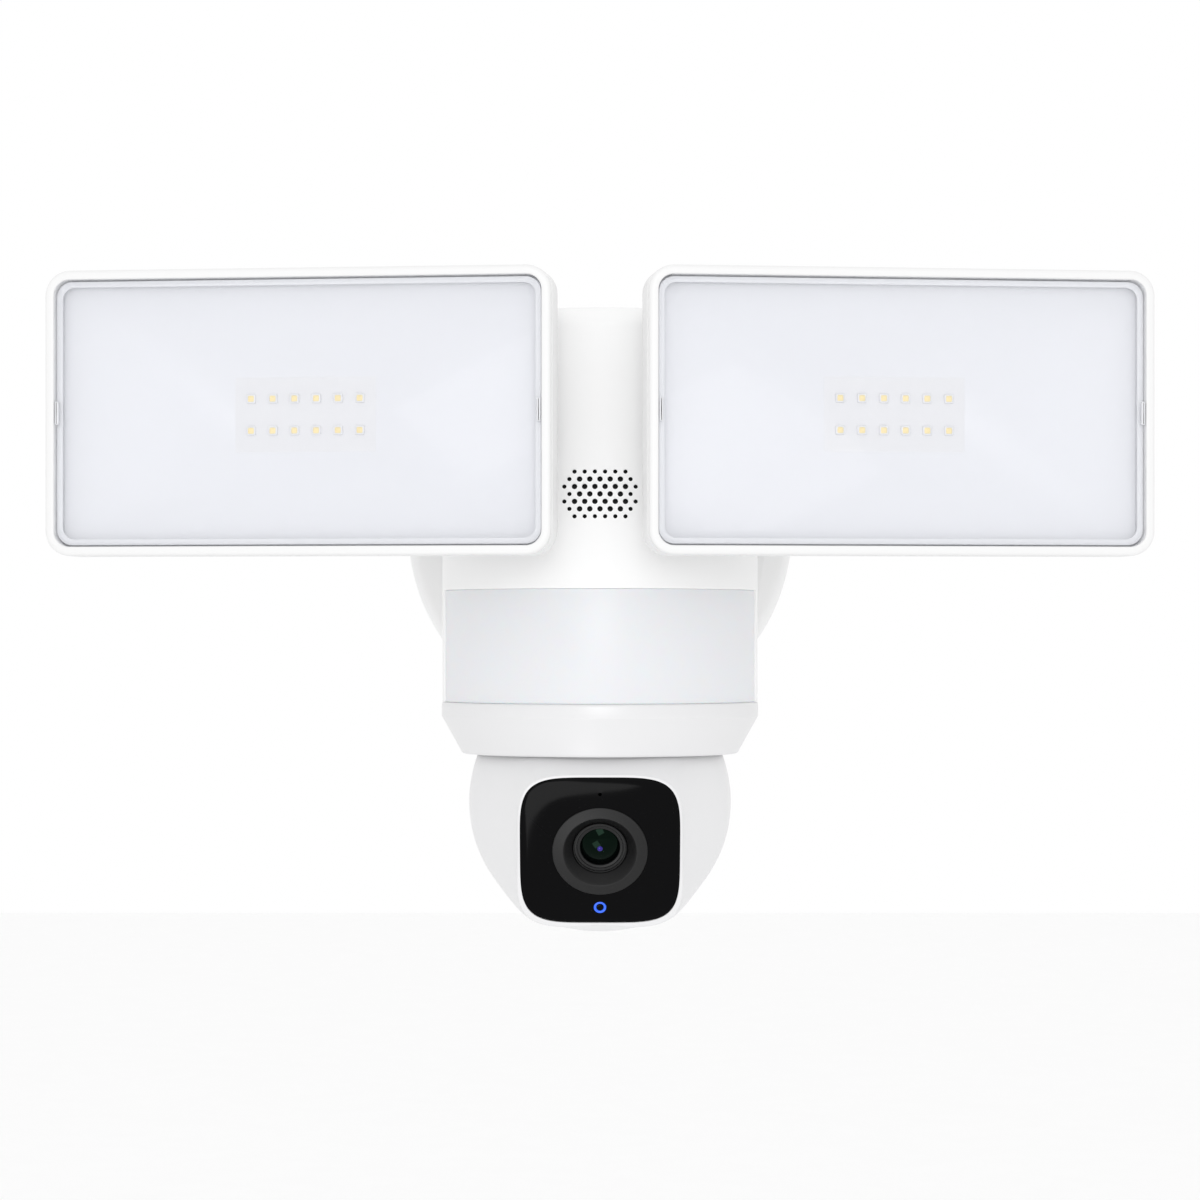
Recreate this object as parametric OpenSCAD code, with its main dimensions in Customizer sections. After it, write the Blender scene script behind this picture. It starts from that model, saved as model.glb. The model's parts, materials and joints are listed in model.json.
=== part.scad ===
/* [Overall] */
// Width over both lamp heads
overall_w = 335; // [300:1:380]
// Height of the lamp centres above the wall plate centre
lamp_z = 31; // [22:1:40]
// Distance from the wall to the front centre of each lamp
lamp_reach = 150; // [146:1:180]

/* [Body] */
// Outer radius of the round body
body_r = 50.5; // [47:0.5:60]
// Wall thickness of the plastic shells
wall = 2.5; // [2:0.1:3]
// Distance from the wall to the body's upright axis
body_y = 75; // [75:1:90]
// Height of the body's flat top
body_top = 65; // [58:1:78]
// Rounding of the body's top edge
body_round = 6; // [3:0.5:9]
// Height where the motion sensor window starts
window_top = -21.7; // [-26:0.1:-20]
// Height where the base ring starts
ring_top = -57; // [-62:0.5:-54]
// Height of the base ring
ring_h = 16.5; // [14:0.5:18]
// Half angle that the motion sensor window wraps around the body
window_half_angle = 78; // [70:1:80]

/* [Lamps] */
// Height of a lamp head
lamp_h = 86; // [76:1:104]
// Gap between the inner ends of the two lamps
lamp_gap = 29; // [28:1:40]
// Depth of a lamp housing with its bezel
lamp_d = 18.5; // [17:0.5:22]
// Corner radius of a lamp head
lamp_corner = 7.5; // [5:0.5:10]
// Angle that each lamp is turned outward
lamp_yaw = 7; // [0:1:9]
// Visible width of the lamp bezel
bezel_w = 2.8; // [2:0.1:4]
// LEDs in a row
led_cols = 6; // [4:1:6]
// Rows of LEDs
led_rows = 2; // [1:1:2]
// Distance between LEDs in a row
led_pitch = 6.7; // [5.5:0.1:6.9]
// Distance between the rows of LEDs
led_row_pitch = 9.7; // [6:0.1:12]
// Cooling fins on each side of the hinge
fin_count = 6; // [3:1:7]

/* [Joints] */
// Radius of the upright swivel pins
swivel_pin_r = 3; // [2.5:0.1:3.5]
// Radius of the lamp tilt pins
tilt_pin_r = 2.5; // [2:0.1:3]
// Distance from a lamp's front face back to its tilt pin
tilt_setback = 36; // [34:0.5:40]
// Running clearance between a pin and its bore
fit_gap = 0.05; // [0.03:0.01:0.08]
// Clearance between pieces that move past each other
move_gap = 0.4; // [0.35:0.05:0.6]

/* [Camera] */
// Radius of the camera ball
ball_r = 42; // [39:0.5:43]
// Height of the ball's centre
ball_z = -89; // [-92:0.5:-88]
// Downward angle of the camera at rest
cam_tilt = 21.5; // [20:0.5:40]
// Half width of the black face
face_half = 24.8; // [22:0.2:26]
// Distance from the ball's centre to the face
face_reach = 37.8; // [36:0.1:39]
// Radius of the trunnion pins inside the ball
trunnion_r = 3; // [2.4:0.1:3.4]
// Travel of the sync button
button_travel = 0.8; // [0.5:0.1:1]
// Radius of the sync button
button_r = 2.5; // [2:0.1:3]

/* [Wall side] */
// Radius of the wall canopy
canopy_r = 65; // [62:1:72]
// Depth of the wall canopy with its gasket
canopy_d = 18; // [16:1:19]
// Distance between the middles of the two bracket slots
slot_spacing = 79.375; // [76:0.125:82]
// End to end length of a bracket slot
slot_len = 13.9; // [10:0.1:14]
// Half width of a bracket slot
slot_r = 2.2; // [2:0.1:2.4]
// Half distance between the canopy screws
canopy_screw_x = 54; // [53:0.5:55]

/* [Gears] */
// Module of the pan gear and its pinion
pan_module = 0.8; // [0.7:0.05:0.8]
// Module of the tilt gear and its pinion
tilt_module = 0.6; // [0.5:0.05:0.65]
// Teeth on the pan gear
pan_teeth = 60; // [54:1:60]
// Teeth on the pan pinion
pan_pinion_teeth = 18; // [17:1:20]
// Teeth on the tilt gear
tilt_teeth = 36; // [34:1:38]
// Teeth on the tilt pinion
tilt_pinion_teeth = 18; // [17:1:19]

/* [Hidden] */
$fn = 64;
SIDES = ["left", "right"];
LAMP_PIECES = ["arm", "tilt_pin", "lamp_housing", "lamp_gasket", "lamp_bezel", "lamp_lens",
    "reflector", "led_board", "leds", "lamp_screws"];

inner_r = body_r - wall;
lamp_w = (overall_w - lamp_gap) / 2 / cos(lamp_yaw);
lamp_x = (overall_w + lamp_gap) / 4;
split_y = body_r * cos(window_half_angle + 1);
ring_bottom = ring_top - ring_h;
span = 200;
chassis_z = window_top + 0.2;
chassis_t = 2.5;
gasket_t = 1.5;
bracket_t = 2;
bracket_h = 18;
canopy_edge = 4;
canopy_boss_r = 4.2;
neck_r = 30;
neck_screw_at = 24;
neck_screw_r = 1.5;
cable_hole_r = 9;
lug_t = 4;
lug_gap = 12;
swivel_x = body_r + 9.5;
swivel_r = 7.5;
barrel_r = 7;
barrel_w = 14;
elbow_back = 14;
link_w = 11;
side_gap = 0.3;
window_r = body_r - 0.5;
window_t = 1.1;
speaker_z = 7.4;
hole_pitch = 3.12;
hole_rows = [6, 7, 8, 7, 8, 7, 6];
hole_r = 0.85;
hole_edge_r = 0.66;
sensor_angles = [-50, 0, 50];
motion_board_r = inner_r - 13;
bezel_t = 3.5;
lens_t = 2;
lens_inset = 0.5;
led_board_t = 1.2;
board_floor = lamp_d - wall;
led_board_w = (led_cols - 1) * led_pitch + 9.5;
led_board_h = (led_rows - 1) * led_row_pitch + 12.7;
led_w = 2.8;
led_d = 0.7;
lip_w = 2.2;
cover_room_w = lamp_w - 2 * bezel_w;
cover_room_h = lamp_h - 2 * bezel_w;
cover_corner = lamp_corner - bezel_w;
mouth_w = cover_room_w - 2 * lip_w;
mouth_h = cover_room_h - 2 * lip_w;
lamp_posts = [for (x = [-50, 50], z = [-24, 24]) [x, z]];
ring_mouth_r = sqrt(pow(ball_r, 2) - pow(ring_bottom - ball_z, 2)) + 1.4;
seal_z = ring_bottom + 1.2;
seal_w = 1.6;
face_corner = 15;
face_rim = 1.5;
face_t = 2;
face_inset = 0.3;
bore_r = 15;
glass_r = 5.8;
mic_z = 19.3;
light_z = -19.4;
light_r = 2;
seam_back = 4;
boss_r = 8;
boss_end = sqrt(pow(ball_r - wall, 2) - pow(boss_r, 2));
crossbar_r = 4;
crossbar_half = 26.5;
gear_w = 4.5;
gear_x = 19.5;
disc_t = 4;
disc_z = ball_z + ball_r + 4;
stem_w = 14;
stem_d = 9;
shaft_r = 4.5;
collar_r = 7.5;
bushing_r = 6;
motor_shaft_r = 1.5;
wire_hole_r = 2.5;
pan_centres = pan_module * (pan_teeth + pan_pinion_teeth) / 2;
tilt_centres = tilt_module * (tilt_teeth + tilt_pinion_teeth) / 2;
backlash = 0.16;
tilt_up = 4;
tilt_down = 55;
rear_dir = 42;
button_side = 18;
cover_w = 12;
cover_h = 8;
cover_axis = [2.2, -ball_r + 1.9];
cover_barrel_r = 1.85;
card_board_z = ball_r - 8;
screw_r = 1.5;
screw_head_r = 2.8;
post_r = 4;
shell_posts = [[-34, 53], [34, 53], [-38, -10], [38, -10]];
chassis_posts = [[-36.8, 25.8], [36.8, 25.8], [-16.9, 41.7], [16.9, 41.7]];
main_board_y = body_y + 16;
power_board_y = body_y - 14;
boards_z = 23;
board_t = 1.6;
board_posts = [for (x = [-23, 23], z = [-24, 24]) [x, boards_z + z]];

// ---------- shared shapes ----------

function arc(cx, cy, r, a0, a1, steps) =
    [for (i = [0:steps]) let(a = a0 + (a1 - a0) * i / steps) [cx + r * cos(a), cy + r * sin(a)]];

module at_body() { translate([0, -body_y, 0]) children(); }
module along_y() { rotate([90, 0, 0]) children(); }
module along_x() { rotate([0, 90, 0]) children(); }
module both_x() { children(); mirror([1, 0, 0]) children(); }

// A flat outline with four true round corners
module round_rect(w, h, r) {
    square([w - 2 * r, h], center = true);
    square([w, h - 2 * r], center = true);
    for (x = [-1, 1], z = [-1, 1]) translate([x * (w / 2 - r), z * (h / 2 - r)]) circle(r);
}

// The same outline as a plate facing -Y, from y0 back to y1
module plate(w, h, r, y0, y1) {
    translate([0, y1, 0]) along_y() linear_extrude(y1 - y0) round_rect(w, h, r);
}

// A cut across a plate whose back edge is rounded
module back_section(half, y0, y1, edge) {
    polygon(concat([[-half, y0], [half, y0]], arc(half - edge, y1 - edge, edge, 0, 90, 6),
        arc(edge - half, y1 - edge, edge, 90, 180, 6)));
}

// A plate whose back edge is rounded all the way round by the given radius
module soft_back(w, h, r, y0, y1, edge) {
    straight_x = w - 2 * r;
    straight_z = h - 2 * r;
    translate([0, 0, -straight_z / 2]) linear_extrude(straight_z) back_section(w / 2, y0, y1, edge);
    translate([-straight_x / 2, 0, 0]) rotate([90, 0, 90]) linear_extrude(straight_x)
        rotate(-90) mirror([1, 0]) back_section(h / 2, y0, y1, edge);
    for (x = [-1, 1], z = [-1, 1]) translate([x * straight_x / 2, 0, z * straight_z / 2])
        rotate([-90, 0, 0]) rotate_extrude()
            polygon(concat([[0, y0], [r, y0]], arc(r - edge, y1 - edge, edge, 0, 90, 6), [[0, y1]]));
}

module tube(r_out, r_in, h) {
    difference() {
        cylinder(r = r_out, h = h);
        translate([0, 0, -1]) cylinder(r = r_in, h = h + 2);
    }
}

// A machine screw along -Z: head on top of z = 0, shank below it
module screw(head_r, head_h, shank_r, shank_l) {
    difference() {
        cylinder(r = head_r, h = head_h);
        translate([0, 0, head_h / 2]) cylinder(r = head_r / 2, h = head_h, $fn = 6);
    }
    translate([0, 0, -shank_l]) cylinder(r = shank_r, h = shank_l + 0.1);
}

// Involute spur gear outline; slack narrows every tooth at the pitch circle
function inv_point(base, t) = let(rad = t * PI / 180)
    [base * (cos(t) + rad * sin(t)), base * (sin(t) - rad * cos(t))];
function turn(p, a) = [p[0] * cos(a) - p[1] * sin(a), p[0] * sin(a) + p[1] * cos(a)];
function inv_angle(base, r) = sqrt(pow(r / base, 2) - 1) * 180 / PI;
function polar(base, r) = inv_angle(base, r) - atan(sqrt(pow(r / base, 2) - 1));
module gear_outline(m, teeth, slack) {
    pitch = m * teeth / 2;
    base = pitch * cos(20);
    tip = pitch + m * 0.85;
    root = pitch - m * 1.2;
    start = max(base, root);
    half = 90 / teeth - slack / pitch * 90 / PI + polar(base, pitch);
    steps = 5;
    flank = [for (i = [0:steps]) let(r = start + (tip - start) * i / steps)
        turn(inv_point(base, inv_angle(base, r)), -half)];
    tooth = concat([root * [cos(-half), sin(-half)]], flank,
        [for (i = [steps:-1:0]) [flank[i][0], -flank[i][1]]], [root * [cos(half), sin(half)]]);
    polygon([for (k = [0:teeth - 1]) for (p = tooth) turn(p, 360 * k / teeth)]);
}
module gear(m, teeth, width) { linear_extrude(width) gear_outline(m, teeth, backlash / 2); }

// ---------- wall side ----------

// Places its children at the four screws that hold the neck to the canopy
module at_neck_screws() {
    for (a = [45:90:315]) rotate([0, a, 0]) translate([neck_screw_at, 0, 0]) children();
}

module wall_gasket() {
    color("#3a3a3a") along_y() tube(canopy_r - 1, canopy_r - 6.5, gasket_t);
}

module slot_outline() {
    square([slot_len - 2 * slot_r, 2 * slot_r], center = true);
    for (x = [-1, 1]) translate([x * (slot_len / 2 - slot_r), 0]) circle(slot_r);
}

module crossbar_bracket() {
    color("#b8bcc0") along_y() linear_extrude(bracket_t) difference() {
        square([2 * (canopy_screw_x + 3.5), bracket_h], center = true);
        circle(6);
        both_x() translate([slot_spacing / 2, 0]) slot_outline();
        both_x() translate([canopy_screw_x, 0]) circle(2);
        for (x = [-18, 18]) translate([x, 0]) circle(1.6);
    }
}

module canopy() {
    inside = canopy_r - wall;
    floor_y = canopy_d - wall;
    color("#f4f4f4") difference() {
        union() {
            along_y() rotate_extrude() polygon(concat(
                [[0, floor_y], [inside - canopy_edge, floor_y], [inside, floor_y - canopy_edge],
                 [inside, gasket_t], [canopy_r, gasket_t]],
                arc(canopy_r - canopy_edge, canopy_d - canopy_edge, canopy_edge, 0, 90, 6),
                [[0, canopy_d]]));
            both_x() translate([canopy_screw_x, -bracket_t, 0]) along_y()
                cylinder(r = canopy_boss_r, h = canopy_d - bracket_t - 1);
        }
        both_x() translate([canopy_screw_x, 1, 0]) along_y() cylinder(r = 2.2, h = canopy_d + 2);
        along_y() cylinder(r = cable_hole_r, h = canopy_d + 2);
        at_neck_screws() along_y() cylinder(r = neck_screw_r + 0.3, h = canopy_d + 2);
    }
}

module canopy_screws() {
    color("#d9d9d9") both_x() translate([canopy_screw_x, -canopy_d, 0]) along_y()
        screw(4, 2.4, 1.95, canopy_d - 0.6);
}

module cable_grommet() {
    color("#2b2b2b") translate([0, -canopy_d + wall + 1.5, 0]) along_y() {
        tube(cable_hole_r + 2, 4, 1.5);
        tube(cable_hole_r - fit_gap, 4, wall + 3);
    }
}

module neck_gasket() {
    color("#2f2f2f") translate([0, -canopy_d, 0]) difference() {
        along_y() tube(neck_r - 1, cable_hole_r + 2, 1);
        at_neck_screws() translate([0, 1, 0]) along_y() cylinder(r = neck_screw_r + 0.5, h = 3);
    }
}

// ---------- body ----------

module body_outer() {
    rotate_extrude() polygon(concat([[0, ring_top], [body_r, ring_top]],
        arc(body_r - body_round, body_top - body_round, body_round, 0, 90, 8), [[0, body_top]]));
}
module body_inner() {
    rotate_extrude() polygon(concat([[0, ring_top - 1], [inner_r, ring_top - 1]],
        arc(body_r - body_round, body_top - body_round, body_round - wall, 0, 90, 8),
        [[0, body_top - wall]]));
}
module front_half() { translate([-span / 2, -span - split_y, -span]) cube([span, span, 2 * span]); }
module rear_half() { translate([-span / 2, -split_y, -span]) cube([span, span, 2 * span]); }

// Keeps what lies inside the shells' wall
module in_body() {
    intersection() {
        union() children();
        cylinder(r = inner_r + 0.5, h = 2 * body_top, center = true);
    }
}

module lug_plate() {
    linear_extrude(lug_t) {
        translate([swivel_x, 0]) circle(swivel_r + 1);
        translate([inner_r - 2, -swivel_r - 1]) square([swivel_x - inner_r + 2, 2 * swivel_r + 2]);
    }
}

module rear_shell() {
    boards_back = body_y - power_board_y;
    color("#f7f7f7") difference() {
        union() {
            at_body() difference() {
                union() {
                    intersection() { body_outer(); rear_half(); }
                    both_x() for (z = [lug_gap / 2, -lug_gap / 2 - lug_t])
                        translate([0, 0, lamp_z + z]) lug_plate();
                }
                body_inner();
            }
            difference() {
                translate([0, -canopy_d - 1, 0]) along_y() cylinder(r = neck_r, h = body_y - inner_r);
                at_body() cylinder(r = inner_r, h = span, center = true);
            }
            at_body() {
                in_body() {
                    for (p = shell_posts) translate([p[0], inner_r, p[1]]) along_y()
                        cylinder(r = post_r + 1.5, h = inner_r + split_y);
                    for (p = board_posts) translate([p[0], inner_r, p[1]]) along_y()
                        cylinder(r = 3, h = inner_r - boards_back - board_t / 2);
                    for (p = chassis_posts) translate([p[0], p[1], chassis_z + chassis_t])
                        cylinder(r = post_r, h = 12);
                }
                for (p = board_posts) translate([p[0], boards_back + 2, p[1]]) along_y()
                    cylinder(r = 2, h = main_board_y - power_board_y + 1.2);
            }
        }
        for (p = shell_posts) translate([p[0], 0, p[1]]) along_y() {
            cylinder(r = screw_r + 0.2, h = body_y + split_y + 1);
            cylinder(r = screw_head_r + 0.4, h = body_y + split_y - 3);
        }
        at_body() {
            for (p = chassis_posts) translate([p[0], p[1], chassis_z]) cylinder(r = screw_r, h = 12);
            both_x() translate([swivel_x, 0, lamp_z - 20]) cylinder(r = swivel_pin_r, h = 40);
        }
        along_y() cylinder(r = cable_hole_r, h = body_y - inner_r + 20);
        at_neck_screws() along_y() cylinder(r = neck_screw_r, h = canopy_d + 9);
    }
}

module grille_holes() {
    rows = len(hole_rows);
    for (row = [0:rows - 1], i = [0:hole_rows[row] - 1]) {
        x = (i - (hole_rows[row] - 1) / 2) * hole_pitch;
        edge = row == 0 || row == rows - 1 || i == 0 || i == hole_rows[row] - 1;
        translate([x, -inner_r + 6, speaker_z + (row - (rows - 1) / 2) * hole_pitch * 0.73])
            along_y() cylinder(r = edge ? hole_edge_r : hole_r, h = 12, $fn = 24);
    }
}

module front_shell() {
    color("#f7f7f7") at_body() difference() {
        union() {
            difference() {
                intersection() {
                    body_outer();
                    front_half();
                    translate([-span / 2, -span / 2, chassis_z]) cube(span);
                }
                body_inner();
            }
            in_body() {
                for (p = shell_posts) translate([p[0], -split_y, p[1]]) along_y()
                    cylinder(r = post_r, h = inner_r);
                translate([0, -inner_r + 5, speaker_z]) along_y() tube(17, 15.2, 6);
            }
        }
        for (p = shell_posts) translate([p[0], -split_y, p[1]]) along_y() cylinder(r = screw_r, h = 12);
        grille_holes();
    }
}

module shell_screws() {
    color("#c8c8c8") {
        for (p = shell_posts) translate([p[0], -body_y - split_y + 3, p[1]]) rotate([-90, 0, 0])
            screw(screw_head_r, 2, screw_r, 13);
        at_neck_screws() translate([0, -canopy_d + wall, 0]) rotate([-90, 0, 0])
            screw(3, 2, neck_screw_r, wall + 9);
    }
}

module swivel_pins() {
    color("#9a9a9a") at_body() both_x() translate([swivel_x, 0, lamp_z]) {
        translate([0, 0, -lug_gap / 2 - lug_t]) cylinder(r = swivel_pin_r, h = lug_gap + 2 * lug_t);
        translate([0, 0, lug_gap / 2 + lug_t]) cylinder(r = swivel_pin_r + 2, h = 1.6);
        translate([0, 0, -lug_gap / 2 - lug_t - 1.6]) cylinder(r = swivel_pin_r + 2, h = 1.6);
    }
}

module speaker() {
    color("#303030") translate([0, -body_y - inner_r + 6.5, speaker_z]) along_y() difference() {
        union() {
            translate([0, 0, -9]) cylinder(r = 9, h = 5);
            translate([0, 0, -4.5]) cylinder(r1 = 10, r2 = 15, h = 4.5);
            cylinder(r = 15, h = 1.5);
        }
        translate([0, 0, -1.5]) cylinder(r1 = 5, r2 = 13, h = 3.1);
    }
}

module speaker_mesh() {
    color("#202020") translate([0, -body_y - inner_r + 5, speaker_z]) along_y() cylinder(r = 15, h = 0.4);
}

// Bare circuit board the size of both boards in the body
module body_board() { plate(54, 56, 2, -board_t / 2, board_t / 2); }

module main_board() {
    color("#2e7d4f") translate([0, -main_board_y, boards_z]) {
        body_board();
        translate([0, -2.3, 8]) cube([24, 3, 24], center = true);
        for (x = [-20, 20]) translate([x, -2.3, -14]) cube([9, 3, 12], center = true);
        translate([0, 1.8, -22]) cube([30, 2, 5], center = true);
    }
}

module power_board() {
    color("#3b6ea5") translate([0, -power_board_y, boards_z]) {
        difference() {
            body_board();
            for (p = board_posts) translate([p[0], 5, p[1] - boards_z]) along_y() cylinder(r = 2.1, h = 10);
        }
        translate([-6, -7.7, 8]) cube([22, 14, 18], center = true);
        for (x = [11, 21.8]) translate([x, -0.7, 8]) along_y() cylinder(r = 5, h = 14);
        translate([-8, -5.7, -12]) cube([18, 10, 10], center = true);
        translate([12, -4.7, -12]) cube([16, 8, 12], center = true);
    }
}

module motion_window() {
    color("#eeeef0") at_body() intersection() {
        translate([0, 0, ring_top]) tube(window_r, window_r - window_t, chassis_z - ring_top);
        front_half();
    }
}

module motion_board() {
    h = 24;
    t = 1.4;
    color("#2e7d4f") at_body() for (a = sensor_angles) rotate(a) translate([0, -motion_board_r, 0]) {
        translate([-15, -t / 2, chassis_z - h]) cube([30, t, h]);
        translate([-9, -t / 2, chassis_z - 1]) cube([18, t, chassis_t + 1]);
    }
}

module motion_sensors() {
    color("#c9c9c9") at_body() for (a = sensor_angles) rotate(a)
        translate([0, -motion_board_r - 0.7, (window_top + ring_top) / 2 + 4]) along_y() {
            cylinder(r = 4.6, h = 0.6);
            cylinder(r = 4.1, h = 4);
        }
}

// ---------- pan drive ----------

module pan_side() { translate([0, pan_centres, 0]) children(); }

module chassis() {
    hub_z = disc_z + disc_t + 3;
    color("#dcdcdc") at_body() difference() {
        union() {
            translate([0, 0, chassis_z]) cylinder(r = inner_r - fit_gap, h = chassis_t);
            translate([0, 0, hub_z]) cylinder(r = 9, h = chassis_z - hub_z + 0.5);
        }
        translate([0, 0, disc_z]) cylinder(r = bushing_r, h = 60);
        translate([0, 0, chassis_z - 1]) {
            for (p = chassis_posts) translate(p) cylinder(r = screw_r + 0.2, h = 10);
            for (x = [-25, 25]) translate([x, -2, 0]) cylinder(r = 5, h = 10);
            for (a = sensor_angles) rotate(a) translate([-9.2, -motion_board_r - 0.9, 0])
                cube([18.4, 1.8, 10]);
        }
    }
}

module chassis_screws() {
    color("#c8c8c8") at_body() for (p = chassis_posts) translate([p[0], p[1], chassis_z])
        mirror([0, 0, 1]) screw(screw_head_r, 1.8, screw_r, 10);
}

module pan_motor() {
    can_z = disc_z + disc_t + 3;
    color("#c2c6ca") at_body() pan_side() {
        translate([0, 0, can_z]) cylinder(r = 9.5, h = chassis_z - can_z);
        translate([0, 0, disc_z - 0.5]) cylinder(r = motor_shaft_r, h = 9);
    }
}

module pan_pinion() {
    color("#f0ead8") at_body() pan_side() translate([0, 0, disc_z + 0.2]) difference() {
        rotate(180 / pan_pinion_teeth - 90) gear(pan_module, pan_pinion_teeth, disc_t);
        translate([0, 0, -1]) cylinder(r = motor_shaft_r + fit_gap, h = disc_t + 2);
    }
}

module pan_bushing() {
    z = disc_z + disc_t + 2;
    color("#b08d4a") at_body() {
        translate([0, 0, z]) tube(collar_r, shaft_r + fit_gap, 1);
        translate([0, 0, z + 1]) tube(bushing_r, shaft_r + fit_gap, chassis_z + chassis_t - z - 1);
    }
}

module turntable() {
    color("#f0ead8") at_body() difference() {
        union() {
            translate([0, 0, disc_z]) rotate(90) gear(pan_module, pan_teeth, disc_t);
            translate([0, 0, disc_z]) cylinder(r = shaft_r, h = chassis_z + chassis_t - disc_z + 3);
            translate([0, 0, disc_z]) cylinder(r = collar_r, h = disc_t + 1.8);
        }
        translate([0, 0, disc_z - 1]) cylinder(r = wire_hole_r, h = 80);
        for (a = [45:90:315]) rotate(a) translate([16, 0, disc_z - 1]) cylinder(r = 4.5, h = disc_t + 2);
    }
}

module pan_retainer() {
    color("#9a9a9a") at_body() translate([0, 0, chassis_z + chassis_t + 0.3]) tube(collar_r, shaft_r, 1.5);
}

module stem() {
    color("#dcdcdc") at_body() {
        difference() {
            translate([-stem_w / 2, -stem_d / 2, ball_z - 3])
                cube([stem_w, stem_d, disc_z - ball_z + 3]);
            translate([0, 0, ball_z + 8]) cylinder(r = wire_hole_r, h = 60);
        }
        translate([-crossbar_half, 0, ball_z]) along_x() cylinder(r = crossbar_r, h = 2 * crossbar_half);
        translate([-crossbar_half - 5.5, 0, ball_z]) along_x()
            cylinder(r = trunnion_r, h = 2 * crossbar_half + 11);
    }
}

module tilt_motor() {
    color("#c2c6ca") at_body() translate([stem_w / 2, 0, ball_z + tilt_centres]) along_x() {
        cylinder(r = 7, h = gear_x - stem_w / 2 - 1);
        cylinder(r = motor_shaft_r, h = gear_x - stem_w / 2 + gear_w + 0.5);
    }
}

module tilt_pinion() {
    color("#f0ead8") at_body() translate([gear_x, 0, ball_z + tilt_centres]) along_x() difference() {
        rotate(180 / tilt_pinion_teeth) gear(tilt_module, tilt_pinion_teeth, gear_w);
        translate([0, 0, -1]) cylinder(r = motor_shaft_r + fit_gap, h = gear_w + 2);
    }
}

module base_ring() {
    band_r = body_r - 0.2;
    mid = ring_top - 4.5;
    foot = ring_bottom + 1;
    foot_r = ring_mouth_r + 3.4;
    seat_r = ring_mouth_r + seal_w;
    color("#fbfbfb") at_body() rotate_extrude() polygon(concat(
        [[inner_r - 2, ring_top + 3], [inner_r - 0.1, ring_top + 3], [inner_r - 0.1, ring_top],
         [body_r + 0.2, ring_top], [body_r + 0.2, mid + 1], [band_r, mid]],
        [for (i = [1:5]) let(t = i / 6)
            [band_r + (foot_r - band_r) * t + 1.1 * sin(180 * t), mid + (foot - mid) * t]],
        [[foot_r, foot], [foot_r - 1, ring_bottom], [ring_mouth_r, ring_bottom],
         [ring_mouth_r, seal_z], [seat_r, seal_z], [seat_r, seal_z + 1.8], [inner_r - 2, mid]]));
}

module ball_seal() {
    color("#1d1d1d") at_body() translate([0, 0, seal_z])
        tube(ring_mouth_r + seal_w, ring_mouth_r - 0.7, 1.4);
}

// ---------- camera ball: local frame looks along -Y from the ball's centre ----------

module camera_frame() { translate([0, -body_y, ball_z]) rotate([cam_tilt, 0, 0]) children(); }
module rear_point() { rotate([rear_dir - cam_tilt, 0, 0]) children(); }
module face_prism(half, corner, y0, y1) {
    k = half - corner;
    translate([0, y1, 0]) along_y() linear_extrude(y1 - y0) polygon(concat(
        arc(k, k, corner, 0, 90, 6), arc(-k, k, corner, 90, 180, 6),
        arc(-k, -k, corner, 180, 270, 6), arc(k, -k, corner, 270, 360, 6)));
}

module tilt_slot() {
    lead = 10;
    first = cam_tilt - tilt_up - lead;
    rotate([0, -90, 0]) rotate_extrude(start = first, angle = tilt_up + tilt_down + 2 * lead)
        translate([ball_r - 14, -stem_w / 2 - 1]) square([20, stem_w + 2]);
}

// A ball turned about the line of sight
module turned_ball(r) {
    along_y() rotate_extrude() polygon(arc(0, 0, r, -90, 90, 30));
}
module ball_outer() {
    turned_ball(ball_r);
    face_prism(face_half + face_rim, face_corner + face_rim, -face_reach + 0.2, -12);
}
module ball_inner() {
    turned_ball(ball_r - wall);
    face_prism(face_half - 0.8, face_corner - 1, -ball_r - 5, -10);
}

module cover_hole(grow) {
    far = cover_axis[0] + cover_barrel_r + grow;
    near = -cover_h / 2 - grow;
    rear_point() translate([-cover_w / 2 - grow, near, -ball_r - 2])
        cube([cover_w + 2 * grow, far - near, 8]);
}
module cover_pins(r, reach) {
    rear_point() translate([-cover_w / 2 - reach, cover_axis[0], cover_axis[1]]) along_x()
        cylinder(r = r, h = cover_w + 2 * reach);
}
module button_frame() { rear_point() rotate([0, button_side, 0]) mirror([0, 0, 1]) children(); }
module button_hole() {
    button_frame() translate([0, 0, ball_r - 8]) cylinder(r = button_r + 0.3, h = 12);
}

module ball_front_shell() {
    color("#fafafa") camera_frame() difference() {
        ball_outer();
        ball_inner();
        translate([-span / 2, seam_back, -span / 2]) cube(span);
        face_prism(face_half + 0.1, face_corner, -ball_r - 5, -face_reach + face_t + face_inset);
    }
}

module ball_rear_shell() {
    color("#fafafa") camera_frame() difference() {
        union() {
            difference() {
                turned_ball(ball_r);
                turned_ball(ball_r - wall);
            }
            intersection() {
                for (x = [-9, 7]) rear_point() translate([x, 5.5, -ball_r])
                    cylinder(r = 1.5, h = ball_r - card_board_z);
                turned_ball(ball_r - 1);
            }
        }
        translate([-span / 2, seam_back - span, -span / 2]) cube(span);
        tilt_slot();
        button_hole();
        cover_hole(0.3);
        cover_pins(0.55, 1.6);
    }
}

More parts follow.
